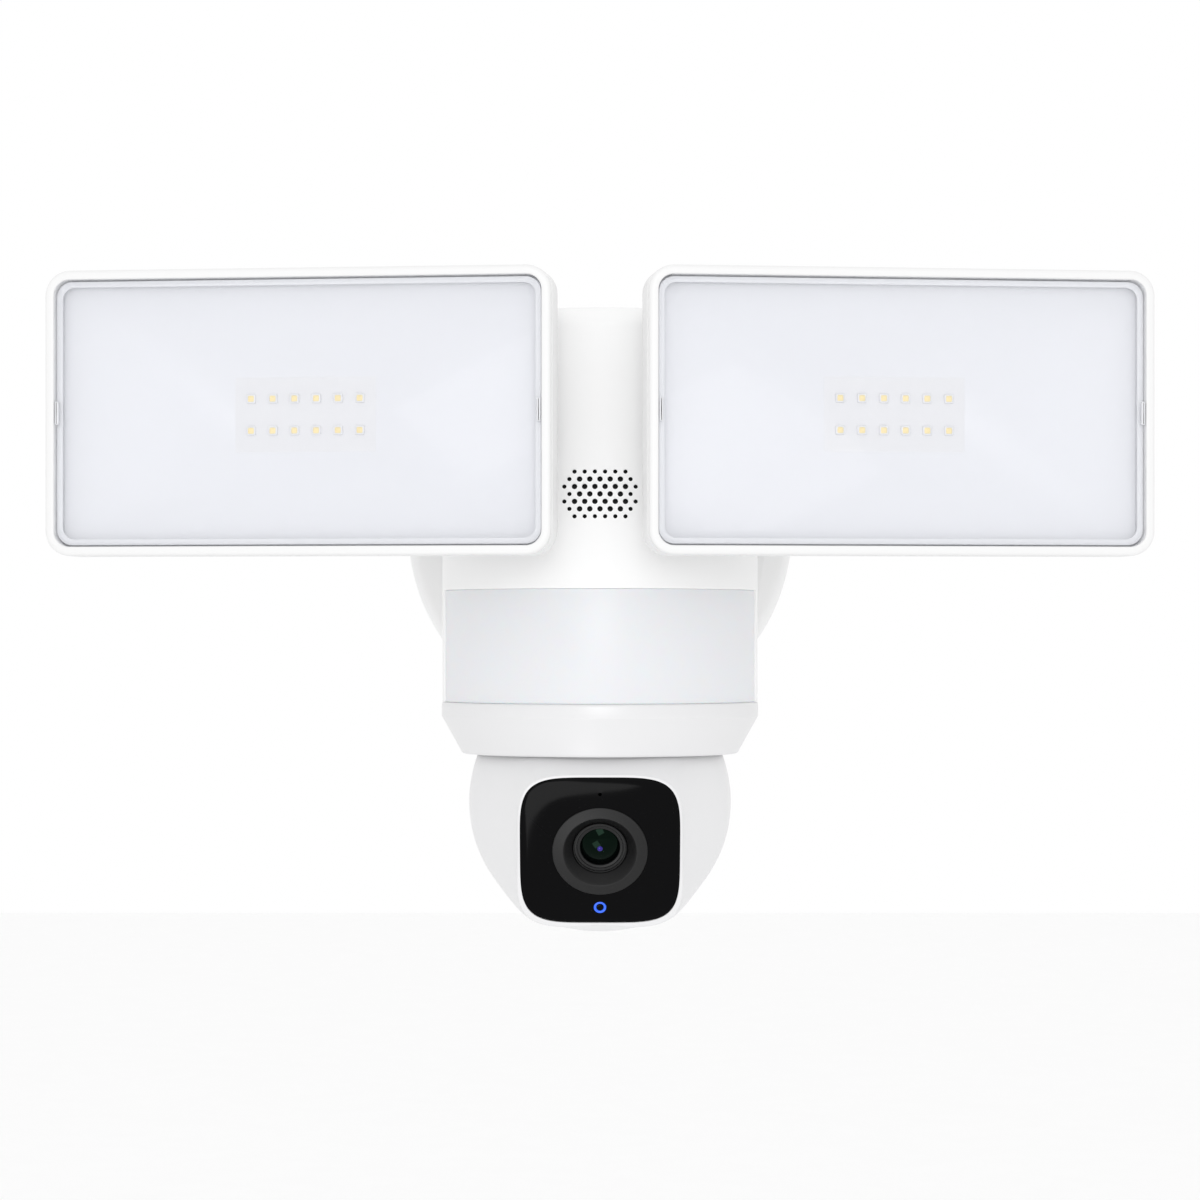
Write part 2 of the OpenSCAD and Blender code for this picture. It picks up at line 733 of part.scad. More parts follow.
module tilt_gear() {
    color("#f0ead8") camera_frame() difference() {
        union() {
            translate([gear_x, 0, 0]) along_x() rotate(180 - cam_tilt)
                gear(tilt_module, tilt_teeth, gear_w);
            translate([gear_x + gear_w - 0.1, 0, 0]) along_x()
                cylinder(r = boss_r, h = boss_end - gear_x - gear_w + 0.1);
            translate([-boss_end, 0, 0]) along_x() cylinder(r = boss_r, h = boss_end - crossbar_half - 0.4);
        }
        along_x() cylinder(r = crossbar_r + move_gap, h = crossbar_half + 0.4);
        translate([-boss_end + 3, 0, 0]) along_x() cylinder(r = trunnion_r + fit_gap, h = 2 * boss_end - 6);
    }
}

module face_window() {
    color("#0b0b0c") camera_frame() difference() {
        face_prism(face_half, face_corner - 0.1, -face_reach, -face_reach + face_t);
        along_y() cylinder(r = bore_r, h = 60);
        translate([0, 0, mic_z]) along_y() cylinder(r = 0.6, h = 60);
        translate([0, 0, light_z]) along_y() cylinder(r = light_r + 0.1, h = 60);
    }
}

module lens_barrel() {
    f = face_reach;
    color("#141414") camera_frame() along_y() rotate_extrude() polygon(
        [[10.7, f + 0.8], [11.6, f + 1], [bore_r - 0.1, f + 0.5], [bore_r - 0.1, f - 3.5], [12, f - 5],
         [12, f - 22], [5, f - 22], [5, f - 5.5], [glass_r, f - 5.5], [glass_r, f - 4.2],
         [7.8, f - 3], [8.6, f - 3]]);
}

module lens_glass() {
    color("#1b2b2b") camera_frame() along_y() rotate_extrude() polygon(concat(
        [[0, face_reach - 5.5], [glass_r, face_reach - 5.5], [glass_r, face_reach - 4.2]],
        arc(0, face_reach - 14.9, 12.1, 60, 90, 6)));
}

module camera_board() {
    y = -face_reach + 22;
    color("#2e7d4f") camera_frame() translate([0, y, 0]) {
        plate(34, 42, 3, 0, 1.4);
        plate(7, 7, 0.5, -1.5, 0);
        for (x = [-14, 14], z = [-14, 14]) translate([x, 0, z]) along_y() cylinder(r = 2.4, h = 6);
    }
}

module status_light() {
    color("#2f6fff") camera_frame() translate([0, -face_reach + 3, light_z]) along_y()
        tube(light_r, 0.8, 3);
}

module card_board() {
    color("#2e7d4f") camera_frame() rear_point() {
        translate([-14, -8, -card_board_z]) cube([23, 16, 1.2]);
        translate([-5.5, -7, -card_board_z - 3.4]) cube([11, 7.2, 3.5]);
        translate([-card_board_z * tan(button_side), 0, -card_board_z - 0.3]) cylinder(r = 1.2, h = 0.4);
    }
}

module sync_button() {
    stem_end = ball_r - 5.4 + button_travel;
    color("#e8e8e8") camera_frame() button_frame() rotate_extrude() polygon(concat(
        [[0, stem_end], [1, stem_end], [1, ball_r - 4], [button_r + 0.9, ball_r - 4],
         [button_r + 0.9, ball_r - wall - 0.5], [button_r, ball_r - wall - 0.5]],
        [for (i = [0:4]) let(x = button_r * (1 - i / 4)) [x, ball_r + 0.5 - 0.4 * pow(x / button_r, 2)]]));
}

module card_cover() {
    color("#efefef") camera_frame() {
        intersection() {
            rear_point() translate([-cover_w / 2, -cover_h / 2, -ball_r - 2])
                cube([cover_w, cover_h / 2 + cover_axis[0], 8]);
            difference() {
                turned_ball(ball_r);
                turned_ball(ball_r - 1.5);
            }
        }
        intersection() {
            rear_point() translate([-cover_w / 2, cover_axis[0], cover_axis[1]]) along_x()
                cylinder(r = cover_barrel_r, h = cover_w);
            turned_ball(ball_r);
        }
        cover_pins(0.5, 1.3);
    }
}

// ---------- lamps: local frame is the right lamp, front face at y = 0, outer end at +x ----------

module side_of(side) { if (side == "left") mirror([1, 0, 0]) children(); else children(); }
module lamp_frame(side) {
    side_of(side) translate([lamp_x, -lamp_reach, lamp_z]) rotate([0, 0, lamp_yaw]) children();
}
function lamp_to_world(p) = [lamp_x + p[0] * cos(lamp_yaw) - p[1] * sin(lamp_yaw),
    -lamp_reach + p[0] * sin(lamp_yaw) + p[1] * cos(lamp_yaw)];

module capsule(a, b, r) {
    d = b - a;
    translate(a) circle(r);
    translate(b) circle(r);
    translate(a) rotate(atan2(d[1], d[0])) translate([0, -r]) square([norm(d), 2 * r]);
}

module arm(side) {
    elbow = lamp_to_world([0, tilt_setback + elbow_back]);
    hinge = lamp_to_world([0, tilt_setback]);
    pivot = [swivel_x, -body_y];
    h = lug_gap - 2 * side_gap;
    color("#f2f2f2") difference() {
        union() {
            side_of(side) translate([0, 0, lamp_z]) {
                translate([0, 0, -h / 2]) linear_extrude(h) {
                    capsule(hinge, elbow, link_w / 2);
                    capsule(elbow, pivot, link_w / 2);
                }
                translate([pivot[0], pivot[1], -h / 2]) cylinder(r = swivel_r, h = h);
            }
            lamp_frame(side) translate([-barrel_w / 2, tilt_setback, 0]) along_x()
                cylinder(r = barrel_r, h = barrel_w);
        }
        side_of(side) translate([pivot[0], pivot[1], lamp_z - 20])
            cylinder(r = swivel_pin_r + fit_gap, h = 40);
        lamp_frame(side) translate([-20, tilt_setback, 0]) along_x() cylinder(r = tilt_pin_r, h = 40);
    }
}

module tilt_pin(side) {
    reach = barrel_w / 2 + side_gap + lug_t;
    color("#9a9a9a") lamp_frame(side) translate([0, tilt_setback, 0]) along_x() {
        translate([0, 0, -reach - 0.4]) cylinder(r = tilt_pin_r, h = 2 * reach + 0.8);
        for (z = [-reach - 2.1, reach + side_gap]) translate([0, 0, z])
            cylinder(r = tilt_pin_r + 2, h = 1.8);
    }
}

module lamp_lug(side_x) {
    translate([side_x, 0, 0]) along_x() linear_extrude(lug_t) {
        translate([0, tilt_setback]) circle(barrel_r + 0.5);
        translate([-barrel_r - 0.5, lamp_d - 1]) square([2 * barrel_r + 1, tilt_setback - lamp_d + 1]);
    }
}

module lamp_housing(side) {
    reach = barrel_w / 2 + side_gap;
    edge = 4;
    color("#f0f0f0") lamp_frame(side) difference() {
        union() {
            soft_back(lamp_w, lamp_h, lamp_corner, bezel_t, lamp_d, edge);
            for (i = [0:fin_count - 1], s = [-1, 1]) translate([s * (20 + i * 6) - 0.9, lamp_d - 0.1, -26])
                cube([1.8, 7, 52]);
            for (x = [reach, -reach - lug_t]) lamp_lug(x);
        }
        plate(lamp_w - 2 * wall, lamp_h - 2 * wall, lamp_corner - wall, 0, lamp_d - edge - 1);
        plate(lamp_w - 10, lamp_h - 10, lamp_corner - wall, 0, board_floor);
        translate([-20, tilt_setback, 0]) along_x() cylinder(r = tilt_pin_r + fit_gap, h = 40);
        for (p = lamp_posts) translate([p[0], span, p[1]]) along_y() {
            cylinder(r = screw_r + 0.2, h = span);
            cylinder(r = screw_head_r + 0.4, h = span - lamp_d);
        }
    }
}

module lamp_gasket(side) {
    color("#5a5a5a") lamp_frame(side) difference() {
        plate(cover_room_w - 1, cover_room_h - 1, cover_corner, lens_inset + lens_t, bezel_t);
        plate(mouth_w, mouth_h, cover_corner - 1, 0, bezel_t + 1);
    }
}

module lamp_bezel(side) {
    color("#f5f5f5") lamp_frame(side) difference() {
        union() {
            plate(lamp_w, lamp_h, lamp_corner, 0, bezel_t);
            plate(lamp_w - 2 * wall - 0.4, lamp_h - 2 * wall - 0.4, lamp_corner - wall,
                bezel_t - 0.5, bezel_t + 2);
        }
        plate(cover_room_w, cover_room_h, cover_corner, -1, bezel_t);
        plate(mouth_w, mouth_h, cover_corner - 1, -1, lamp_d);
    }
}

module lamp_lens(side) {
    color("#f4f6fb", 0.4) lamp_frame(side) difference() {
        plate(cover_room_w - 0.4, cover_room_h - 0.4, cover_corner, lens_inset, lens_inset + lens_t);
        both_x() translate([cover_room_w / 2, 0, 0]) cube([2.4, 3, 7], center = true);
    }
}

// Tapers from one rectangle at y0 to another at y1
module funnel(w0, h0, w1, h1, y0, y1) {
    hull() {
        translate([-w0 / 2, y0 - 0.01, -h0 / 2]) cube([w0, 0.02, h0]);
        translate([-w1 / 2, y1 - 0.01, -h1 / 2]) cube([w1, 0.02, h1]);
    }
}

module reflector(side) {
    y0 = bezel_t + 2;
    y1 = board_floor - led_board_t;
    t = 1.2;
    color("#fafafa") lamp_frame(side) difference() {
        union() {
            plate(mouth_w + 2, mouth_h + 2, 2, y0, y0 + t);
            intersection() {
                funnel(mouth_w, mouth_h, led_board_w + 1, led_board_h + 1, y0 + t, y1 + t);
                plate(mouth_w, mouth_h, 2, y0, y1);
            }
            for (p = lamp_posts) translate([p[0], board_floor, p[1]]) along_y()
                cylinder(r = 3.2, h = board_floor - y0 - t);
        }
        funnel(mouth_w, mouth_h, led_board_w, led_board_h, y0 - 0.02, y1 + 0.02);
        for (p = lamp_posts) translate([p[0], span, p[1]]) along_y()
            cylinder(r = screw_r, h = span - board_floor + 4);
    }
}

module led_board(side) {
    color("#f8f8f6") lamp_frame(side) difference() {
        plate(led_board_w + 14, led_board_h + 8, 1, board_floor - led_board_t, board_floor);
        both_x() translate([led_board_w / 2 + 4, span, 0]) along_y() cylinder(r = 1.6, h = span);
    }
}

module leds(side) {
    first = -[led_cols - 1, led_rows - 1] / 2;
    y = board_floor - led_board_t - led_d / 2;
    color("#f6e7a0") lamp_frame(side) for (i = [0:led_cols - 1], j = [0:led_rows - 1])
        translate([(first[0] + i) * led_pitch, y, (first[1] + j) * led_row_pitch])
            cube([led_w, led_d, led_w], center = true);
}

module lamp_screws(side) {
    color("#b0b0b0") lamp_frame(side) for (p = lamp_posts) translate([p[0], lamp_d, p[1]])
        rotate([-90, 0, 0]) screw(screw_head_r, 2, screw_r, wall + 3.5);
}

wall_gasket();
crossbar_bracket();
canopy();
canopy_screws();
cable_grommet();
neck_gasket();
rear_shell();
front_shell();
shell_screws();
swivel_pins();
speaker();
speaker_mesh();
main_board();
power_board();
motion_window();
motion_board();
motion_sensors();
chassis();
chassis_screws();
pan_motor();
base_ring();
pan_bushing();
ball_seal();
turntable();
pan_retainer();
stem();
tilt_motor();
pan_pinion();
tilt_pinion();
ball_front_shell();
ball_rear_shell();
tilt_gear();
face_window();
lens_barrel();
lens_glass();
camera_board();
status_light();
card_board();
sync_button();
card_cover();
for (side = SIDES) {
    arm(side);
    tilt_pin(side);
    lamp_housing(side);
    lamp_gasket(side);
    lamp_bezel(side);
    lamp_lens(side);
    reflector(side);
    led_board(side);
    leds(side);
    lamp_screws(side);
}
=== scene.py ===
import json
import math

import bmesh
import bpy
from bpy.props import FloatProperty, IntProperty, PointerProperty, StringProperty
from mathutils import Matrix, Vector


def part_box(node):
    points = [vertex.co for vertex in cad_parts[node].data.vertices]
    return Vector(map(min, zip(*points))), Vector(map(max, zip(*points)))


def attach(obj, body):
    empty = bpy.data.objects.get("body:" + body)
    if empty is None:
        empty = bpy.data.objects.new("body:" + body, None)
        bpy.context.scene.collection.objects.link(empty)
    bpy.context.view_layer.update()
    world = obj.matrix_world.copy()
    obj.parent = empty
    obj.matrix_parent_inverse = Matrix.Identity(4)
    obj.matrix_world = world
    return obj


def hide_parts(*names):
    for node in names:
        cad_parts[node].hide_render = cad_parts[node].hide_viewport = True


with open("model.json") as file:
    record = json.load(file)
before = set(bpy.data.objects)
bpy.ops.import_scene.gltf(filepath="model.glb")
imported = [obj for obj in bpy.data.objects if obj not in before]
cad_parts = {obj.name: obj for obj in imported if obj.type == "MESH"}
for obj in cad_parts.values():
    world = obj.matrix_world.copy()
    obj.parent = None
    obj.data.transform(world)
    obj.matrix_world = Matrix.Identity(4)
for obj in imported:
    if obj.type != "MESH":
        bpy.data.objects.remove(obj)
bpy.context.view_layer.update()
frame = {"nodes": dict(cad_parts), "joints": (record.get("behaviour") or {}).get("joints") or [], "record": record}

bl_info = {
    "name": "Floodlight security camera",
    "version": (1, 0, 0),
    "blender": (4, 5, 0),
    "location": "View3D > Sidebar > Floodlight",
    "description": "Dresses a floodlight security camera's frame with finished shells, lamps and optics",
    "category": "Add Mesh",
}

MM = 0.001
SIDES = ("left", "right")
JOINTS = {joint["name"]: joint for joint in frame["joints"]}
UP = Vector((0, 0, 1))
# How far gloss swings about its mean, and the size of the faint drift in tone
GLOSS_SPREAD = 0.12
DRIFT_MM = 45
# Rows of speaker holes, from the lowest up
SPEAKER_ROWS = (6, 7, 8, 7, 8, 7, 6)
# Heights of the microphone hole and the status light on the face, from its middle
MIC_HEIGHT = 19.3
LIGHT_HEIGHT = -19.4


# ---------- settings ----------

def millimetres(name, description, value):
    """A length in millimetres."""
    return FloatProperty(name=name, description=description, default=value)


def hex_colour(name, description, value):
    """An sRGB hex colour."""
    return StringProperty(name=name, description=description, default=value)


class FinishSettings(bpy.types.PropertyGroup):
    """Colours of the finishes"""
    shell: hex_colour("Shell", "Moulded body plastic", "#F1F1F1")
    gloss: hex_colour("Gloss", "Polished base ring and camera ball", "#DFDFE0")
    metal: hex_colour("Powder coat", "Coated arms and lamp housings", "#E6E6E6")
    canopy: hex_colour("Canopy", "Coated wall canopy", "#EEEEEE")
    window: hex_colour("Window", "Milky motion sensor window", "#E1E1E4")
    reflector: hex_colour("Reflector", "Reflector inside a lamp", "#E0E1E5")
    face: hex_colour("Face", "Black camera face", "#050506")
    phosphor: hex_colour("Phosphor", "LED phosphor", "#F2DD9A")
    status: hex_colour("Status light", "Ring of the status light", "#1A4FC8")


class BodySettings(bpy.types.PropertyGroup):
    """Sizes of the round body"""
    shell: millimetres("Wall", "Wall of the plastic shells", 2.5)
    top_round: millimetres("Top rounding", "Rounding of the top edge", 6.0)
    split: millimetres("Split", "From the upright axis forward to the seam between the shells", 9.64)
    hole_pitch: millimetres("Hole pitch", "Distance between speaker holes", 3.12)
    row_pitch: millimetres("Row pitch", "Distance between rows of speaker holes", 2.28)
    hole_r: millimetres("Hole radius", "Radius of a speaker hole", 0.85)
    edge_hole_r: millimetres("Edge hole radius", "Radius of an outermost speaker hole", 0.66)
    segments: IntProperty(name="Segments", description="Steps around the body", default=240)


class LampSettings(bpy.types.PropertyGroup):
    """Sizes of a lamp head"""
    setback: millimetres("Setback", "From the front face back to the tilt pin", 36.0)
    bezel: millimetres("Bezel", "Visible width of the bezel", 2.8)
    lip: millimetres("Lip", "Width of the lens cover's rim", 2.2)
    corner: millimetres("Corner", "Corner radius of the lamp head", 7.5)
    bezel_depth: millimetres("Bezel depth", "Depth of the bezel", 3.5)
    lens: millimetres("Lens", "Thickness of the lens cover", 2.0)
    inset: millimetres("Inset", "How far the lens cover sits behind the bezel", 0.2)
    clip: millimetres("Clip", "Height of the clip at each end of the lens cover", 7.0)
    led: millimetres("LED", "Side of an LED package", 2.8)
    led_pitch: millimetres("LED pitch", "Distance between LEDs in a row", 6.7)
    led_row_pitch: millimetres("Row pitch", "Distance between the rows", 9.7)
    led_cols: IntProperty(name="LEDs in a row", description="LEDs in a row", default=6)


class CameraSettings(bpy.types.PropertyGroup):
    """Sizes of the camera ball"""
    ball_r: millimetres("Ball radius", "Outer radius of the ball", 41.95)
    face_half: millimetres("Face", "Half width of the black face", 24.8)
    squareness: FloatProperty(name="Squareness", description="Power of the face's outline: 2 is round",
                              default=4.6)
    face_reach: millimetres("Face reach", "From the ball's centre to the face", 37.8)
    rim: millimetres("Rim", "Width of the white rim around the face", 0.9)
    wall: millimetres("Wall", "Wall of the ball", 2.5)
    seam: millimetres("Seam", "From the ball's centre back to the seam", 4.0)
    tilt: FloatProperty(name="Tilt", description="Downward angle at rest, in degrees", default=21.5)


class StageSettings(bpy.types.PropertyGroup):
    """Camera and light"""
    distance: millimetres("Distance", "From the camera to the lamps", 1000.0)
    height: millimetres("Height", "Height of the camera against the wall plate's centre", -37.3)
    rise: FloatProperty(name="Rise", description="Upward lens shift, as a share of the frame's width",
                        default=0.0333)
    lens: millimetres("Lens", "Focal length on a 36 mm sensor", 100.5)
    backdrop: hex_colour("Backdrop", "Pale floor", "#FBFBFB")


# ---------- shader helpers ----------

def linear(code):
    """An sRGB hex colour as a linear RGBA tuple."""
    parts = [int(code[i:i + 2], 16) / 255 for i in (1, 3, 5)]
    return tuple(c / 12.92 if c <= 0.04045 else ((c + 0.055) / 1.055) ** 2.4 for c in parts) + (1.0,)


def add(tree, kind, settings=None, links=None):
    """Adds a node, sets its inputs or attributes, and links its inputs from other sockets."""
    node = tree.nodes.new(kind)
    for key, value in (settings or {}).items():
        if isinstance(key, str) and hasattr(node, key):
            setattr(node, key, value)
        else:
            node.inputs[key].default_value = value
    for key, source in (links or {}).items():
        tree.links.new(source, node.inputs[key])
    return node


MATERIALS = {}


def surface(name, colour, roughness, grain_mm, grain_height_mm, vary=0.02, **sockets):
    """A material with fine grain, uneven gloss and, if vary isn't 0, tone drift; returns (tree, shader)."""
    material = bpy.data.materials.new(name)
    material.use_nodes = True
    tree = material.node_tree
    tree.nodes.clear()
    place = add(tree, "ShaderNodeTexCoord").outputs["Object"]
    grain = add(tree, "ShaderNodeTexNoise", {"Scale": 1 / (grain_mm * MM), "Detail": 3.0}, {"Vector": place})
    smooth, rough = roughness * (1 - GLOSS_SPREAD), min(1.0, roughness * (1 + GLOSS_SPREAD))
    gloss = add(tree, "ShaderNodeMapRange", {"To Min": smooth, "To Max": rough}, {"Value": grain.outputs["Fac"]})
    bump = add(tree, "ShaderNodeBump", {"Strength": 0.5, "Distance": grain_height_mm * MM},
               {"Height": grain.outputs["Fac"]})
    links = {"Roughness": gloss.outputs["Result"], "Normal": bump.outputs["Normal"]}
    base = linear(colour)
    if vary:
        drift = add(tree, "ShaderNodeTexNoise", {"Scale": 1 / (DRIFT_MM * MM), "Detail": 2.0},
                    {"Vector": place})
        low = tuple(c * (1 - vary) for c in base[:3]) + (1.0,)
        high = tuple(min(1.0, c * (1 + vary)) for c in base[:3]) + (1.0,)
        tone = add(tree, "ShaderNodeMix", {"data_type": "RGBA", 6: low, 7: high}, {0: drift.outputs["Fac"]})
        links["Base Color"] = tone.outputs[2]
    else:
        sockets["Base Color"] = base
    shader = add(tree, "ShaderNodeBsdfPrincipled", sockets, links)
    add(tree, "ShaderNodeOutputMaterial", None, {"Surface": shader.outputs["BSDF"]})
    MATERIALS[name] = material
    return tree, shader


def make_materials():
    """Makes every finish; each comment says what the real surface gives the eye."""
    f = bpy.context.scene.flood_finish
    # ABS from a spark-eroded mould: satin, with a grain just too fine to see from afar
    surface("ABS_moulded_satin", f.shell, 0.46, 0.45, 0.02, 0.012, IOR=1.54)
    # ABS from a polished mould: a soft, clear highlight
    surface("ABS_polished_mould", f.gloss, 0.3, 1.6, 0.008, 0.008, IOR=1.54)
    # Die-cast aluminium under white powder coat: faint orange peel
    surface("Aluminium_powder_coated", f.metal, 0.42, 1.1, 0.03, 0.012, IOR=1.5)
    # Spun steel under the same coat: smoother than the castings
    surface("Steel_powder_coated", f.canopy, 0.45, 1.4, 0.02, 0.01, IOR=1.5)
    # HDPE sheet lens: milky, waxy and slightly translucent
    window = surface("HDPE_milky_moulded", f.window, 0.38, 2.4, 0.01, 0.012, IOR=1.51)[1]
    window.inputs["Subsurface Weight"].default_value = 0.25
    window.inputs["Subsurface Scale"].default_value = 2 * MM
    # PBT reflector, moulded matt white with a hint of blue
    surface("PBT_reflector_moulded", f.reflector, 0.3, 0.5, 0.0015, 0.006, IOR=1.57)
    # Polycarbonate cover, injection moulded and optically clear
    clear = surface("Polycarbonate_clear_moulded", "#F6F8FF", 0.06, 9.0, 0.004, 0.0, IOR=1.58)[1]
    clear.inputs["Alpha"].default_value = 0.1
    # White solder mask over an aluminium board
    surface("Solder_mask_white", "#DEDEE0", 0.35, 0.8, 0.008, 0.01, IOR=1.5)
    # Green solder mask over glass-epoxy
    board_material()
    # Silicone filled with phosphor, cast into each LED
    surface("Silicone_phosphor_cast", f.phosphor, 0.32, 0.35, 0.012, 0.05, IOR=1.41)
    # Acrylic face, cast black and polished: a mirror-like highlight
    face = surface("Acrylic_black_polished", f.face, 0.07, 14.0, 0.002, 0.0, IOR=1.49)[1]
    face.inputs["Specular IOR Level"].default_value = 0.06
    # ABS moulded black with a dry, light-trapping texture
    barrel = surface("ABS_black_textured", "#070708", 0.42, 0.3, 0.02, 0.04, IOR=1.54)[1]
    barrel.inputs["Specular IOR Level"].default_value = 0.3
    # Multi-coated optical glass: nearly black with a green and violet sheen; here the green comes from tinted
    # reflections and the violet is painted on the inner element
    glass = surface("Optical_glass_coated", "#010202", 0.04, 8.0, 0.001, 0.1, IOR=1.5)[1]
    glass.inputs["Specular IOR Level"].default_value = 0.15
    glass.inputs["Specular Tint"].default_value = linear("#8FC9A8")
    # The inner element's coating tints its reflections violet, but its dark violet base colour is a painted
    # reflection: a small violet glint painted in as colour
    core = surface("Optical_glass_painted_violet_reflection", "#2A1F78", 0.08, 4.0, 0.001, 0.1, IOR=1.6)[1]
    core.inputs["Specular Tint"].default_value = linear("#A99BFF")
    # Polycarbonate light pipe, glowing blue
    pipe = surface("Polycarbonate_light_pipe", f.status, 0.3, 0.6, 0.01, 0.02, IOR=1.58)[1]
    pipe.inputs["Emission Color"].default_value = linear(f.status)
    pipe.inputs["Emission Strength"].default_value = 0.9
    # EPDM foam and rubber: matt, dark, slightly porous
    surface("EPDM_rubber_moulded", "#1E1E1F", 0.75, 0.4, 0.06, 0.08, IOR=1.5)
    # Translucent silicone seal under the lamp covers: soft and milky
    surface("Silicone_translucent_moulded", "#E0E1E4", 0.45, 0.8, 0.01, 0.01, IOR=1.41)
    # Zinc-plated steel: bright, a little clouded
    steel_material("Steel_zinc_plated", "#C9CCD0", 0.3)
    steel_material("Steel_drawn_can", "#B9BCBF", 0.34)
    # Natural acetal gears: ivory and waxy
    surface("Acetal_moulded", "#E9E3D2", 0.4, 0.9, 0.01, 0.02, IOR=1.48)
    # Sintered bronze bushing
    surface("Bronze_sintered", "#B98F52", 0.38, 0.3, 0.03, 0.08, Metallic=1.0)
    # Glass-filled nylon structure: grey with faint fibre marks
    surface("Nylon_glass_filled", "#C9CACB", 0.55, 0.5, 0.03, 0.03, IOR=1.53)
    # Pressed paper cone and rubber surround
    surface("Paper_cone_pressed", "#1A1A1B", 0.8, 0.5, 0.08, 0.1, IOR=1.45)


def board_material():
    """Glass-epoxy board: green mask with copper tracks showing as a lighter weave."""
    tree, shader = surface("FR4_solder_mask_green", "#1F5B36", 0.4, 0.6, 0.02, 0.1, IOR=1.5)
    place = add(tree, "ShaderNodeTexCoord").outputs["Object"]
    tracks = add(tree, "ShaderNodeTexBrick", {"Scale": 1 / (6 * MM), "Mortar Size": 0.06,
                                              "Color1": linear("#1F5B36"), "Color2": linear("#24683E"),
                                              "Mortar": linear("#3E8F57")}, {"Vector": place})
    tree.links.new(tracks.outputs["Color"], shader.inputs["Base Color"])


def steel_material(name, colour, roughness):
    """Steel with the faint lines that drawing or turning leaves."""
    tree, shader = surface(name, colour, roughness, 0.5, 0.01, 0.03, Metallic=1.0)
    place = add(tree, "ShaderNodeTexCoord").outputs["Object"]
    lines = add(tree, "ShaderNodeTexWave", {"Scale": 1 / (0.8 * MM), "Distortion": 1.5, "Detail": 2.0},
                {"Vector": place})
    bump = add(tree, "ShaderNodeBump", {"Strength": 0.15, "Distance": 0.01 * MM},
               {"Height": lines.outputs["Fac"]})
    tree.links.new(bump.outputs["Normal"], shader.inputs["Normal"])


# ---------- mesh helpers ----------

def new_piece(name, mesh, materials, body, nodes, smooth_deg=35):
    """Links a mesh as a piece that rides on a body and stands for CAD nodes."""
    mesh.validate()
    mesh.shade_smooth()
    mesh.set_sharp_from_angle(angle=math.radians(smooth_deg))
    piece = bpy.data.objects.new(name, mesh)
    bpy.context.scene.collection.objects.link(piece)
    for material in materials:
        mesh.materials.append(MATERIALS[material])
    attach(piece, body)
    if nodes:
        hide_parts(*nodes)
    return piece


def mesh_of(name, verts, faces):
    """A mesh with outward normals from points and faces."""
    mesh = bpy.data.meshes.new(name)
    mesh.from_pydata([tuple(v) for v in verts], [], faces)
    bm = bmesh.new()
    bm.from_mesh(mesh)
    bmesh.ops.remove_doubles(bm, verts=bm.verts, dist=1e-7)
    bmesh.ops.dissolve_degenerate(bm, dist=1e-7, edges=bm.edges)
    bmesh.ops.recalc_face_normals(bm, faces=bm.faces)
    bm.to_mesh(mesh)
    bm.free()
    return mesh


def joined(name, meshes):
    """One mesh out of several."""
    bm = bmesh.new()
    for mesh in meshes:
        bm.from_mesh(mesh)
        bpy.data.meshes.remove(mesh)
    whole = bpy.data.meshes.new(name)
    bm.to_mesh(whole)
    bm.free()
    return whole


def arc(centre, radius, start_deg, stop_deg, steps):
    """Points of an arc in a plane."""
    angles = [math.radians(start_deg + (stop_deg - start_deg) * i / steps) for i in range(steps + 1)]
    return [(centre[0] + radius * math.cos(a), centre[1] + radius * math.sin(a)) for a in angles]


def grid_faces(rows, count, close_rows, close_columns):
    """Quads between rows of points that are numbered row by row."""
    faces = []
    for i in range(rows if close_rows else rows - 1):
        for j in range(count if close_columns else count - 1):
            a, b = i * count + j, i * count + (j + 1) % count
            c, d = ((i + 1) % rows) * count + (j + 1) % count, ((i + 1) % rows) * count + j
            faces.append((a, b, c, d))
    return faces


def lathe(name, outline, place, steps=128, start_deg=0.0, sweep_deg=360.0):
    """Turns a closed outline of (radius, height) in mm about local Z; a part turn gets end faces."""
    full = abs(sweep_deg - 360) < 1e-6
    turns = steps if full else steps + 1
    verts = []
    for i in range(turns):
        a = math.radians(start_deg + sweep_deg * i / steps)
        verts += [place @ Vector((r * MM * math.cos(a), r * MM * math.sin(a), z * MM)) for r, z in outline]
    count = len(outline)
    faces = grid_faces(turns, count, full, True)
    if not full:
        faces += [tuple(range(count)), tuple(reversed(range((turns - 1) * count, turns * count)))]
    return mesh_of(name, verts, faces)


def round_rect(w, h, r, corner_steps=10):
    """Points around a rounded rectangle in mm, the same number for every size."""
    points = []
    for sx, sz, start in ((1, 1, 0), (-1, 1, 90), (-1, -1, 180), (1, -1, 270)):
        points += arc((sx * (w / 2 - r), sz * (h / 2 - r)), r, start, start + 90, corner_steps)
    return points


def loft(name, loops, place, cap_first=False, cap_last=False, close=False):
    """Skins loops of (x, y, z) points in mm, with optional end caps."""
    count = len(loops[0])
    verts = [place @ (Vector(p) * MM) for loop in loops for p in loop]
    faces = grid_faces(len(loops), count, close, True)
    if cap_first:
        faces.append(tuple(range(count)))
    if cap_last:
        faces.append(tuple(reversed(range((len(loops) - 1) * count, len(loops) * count))))
    return mesh_of(name, verts, faces)


def frame_loops(w, h, r, outline):
    """Loops of a rounded rectangle for an outline of (inset, depth) points."""
    loops = []
    for inset, depth in outline:
        points = round_rect(w - 2 * inset, h - 2 * inset, max(r - inset, 0.4))
        loops.append([(x, depth, z) for x, z in points])
    return loops


def cut(piece, cutter_mesh):
    """Cuts a mesh out of a piece."""
    cutter = bpy.data.objects.new("cutter", cutter_mesh)
    bpy.context.scene.collection.objects.link(cutter)
    modifier = piece.modifiers.new("cut", "BOOLEAN")
    modifier.object = cutter
    modifier.solver = "EXACT"
    apply_modifiers(piece)
    bpy.data.objects.remove(cutter)


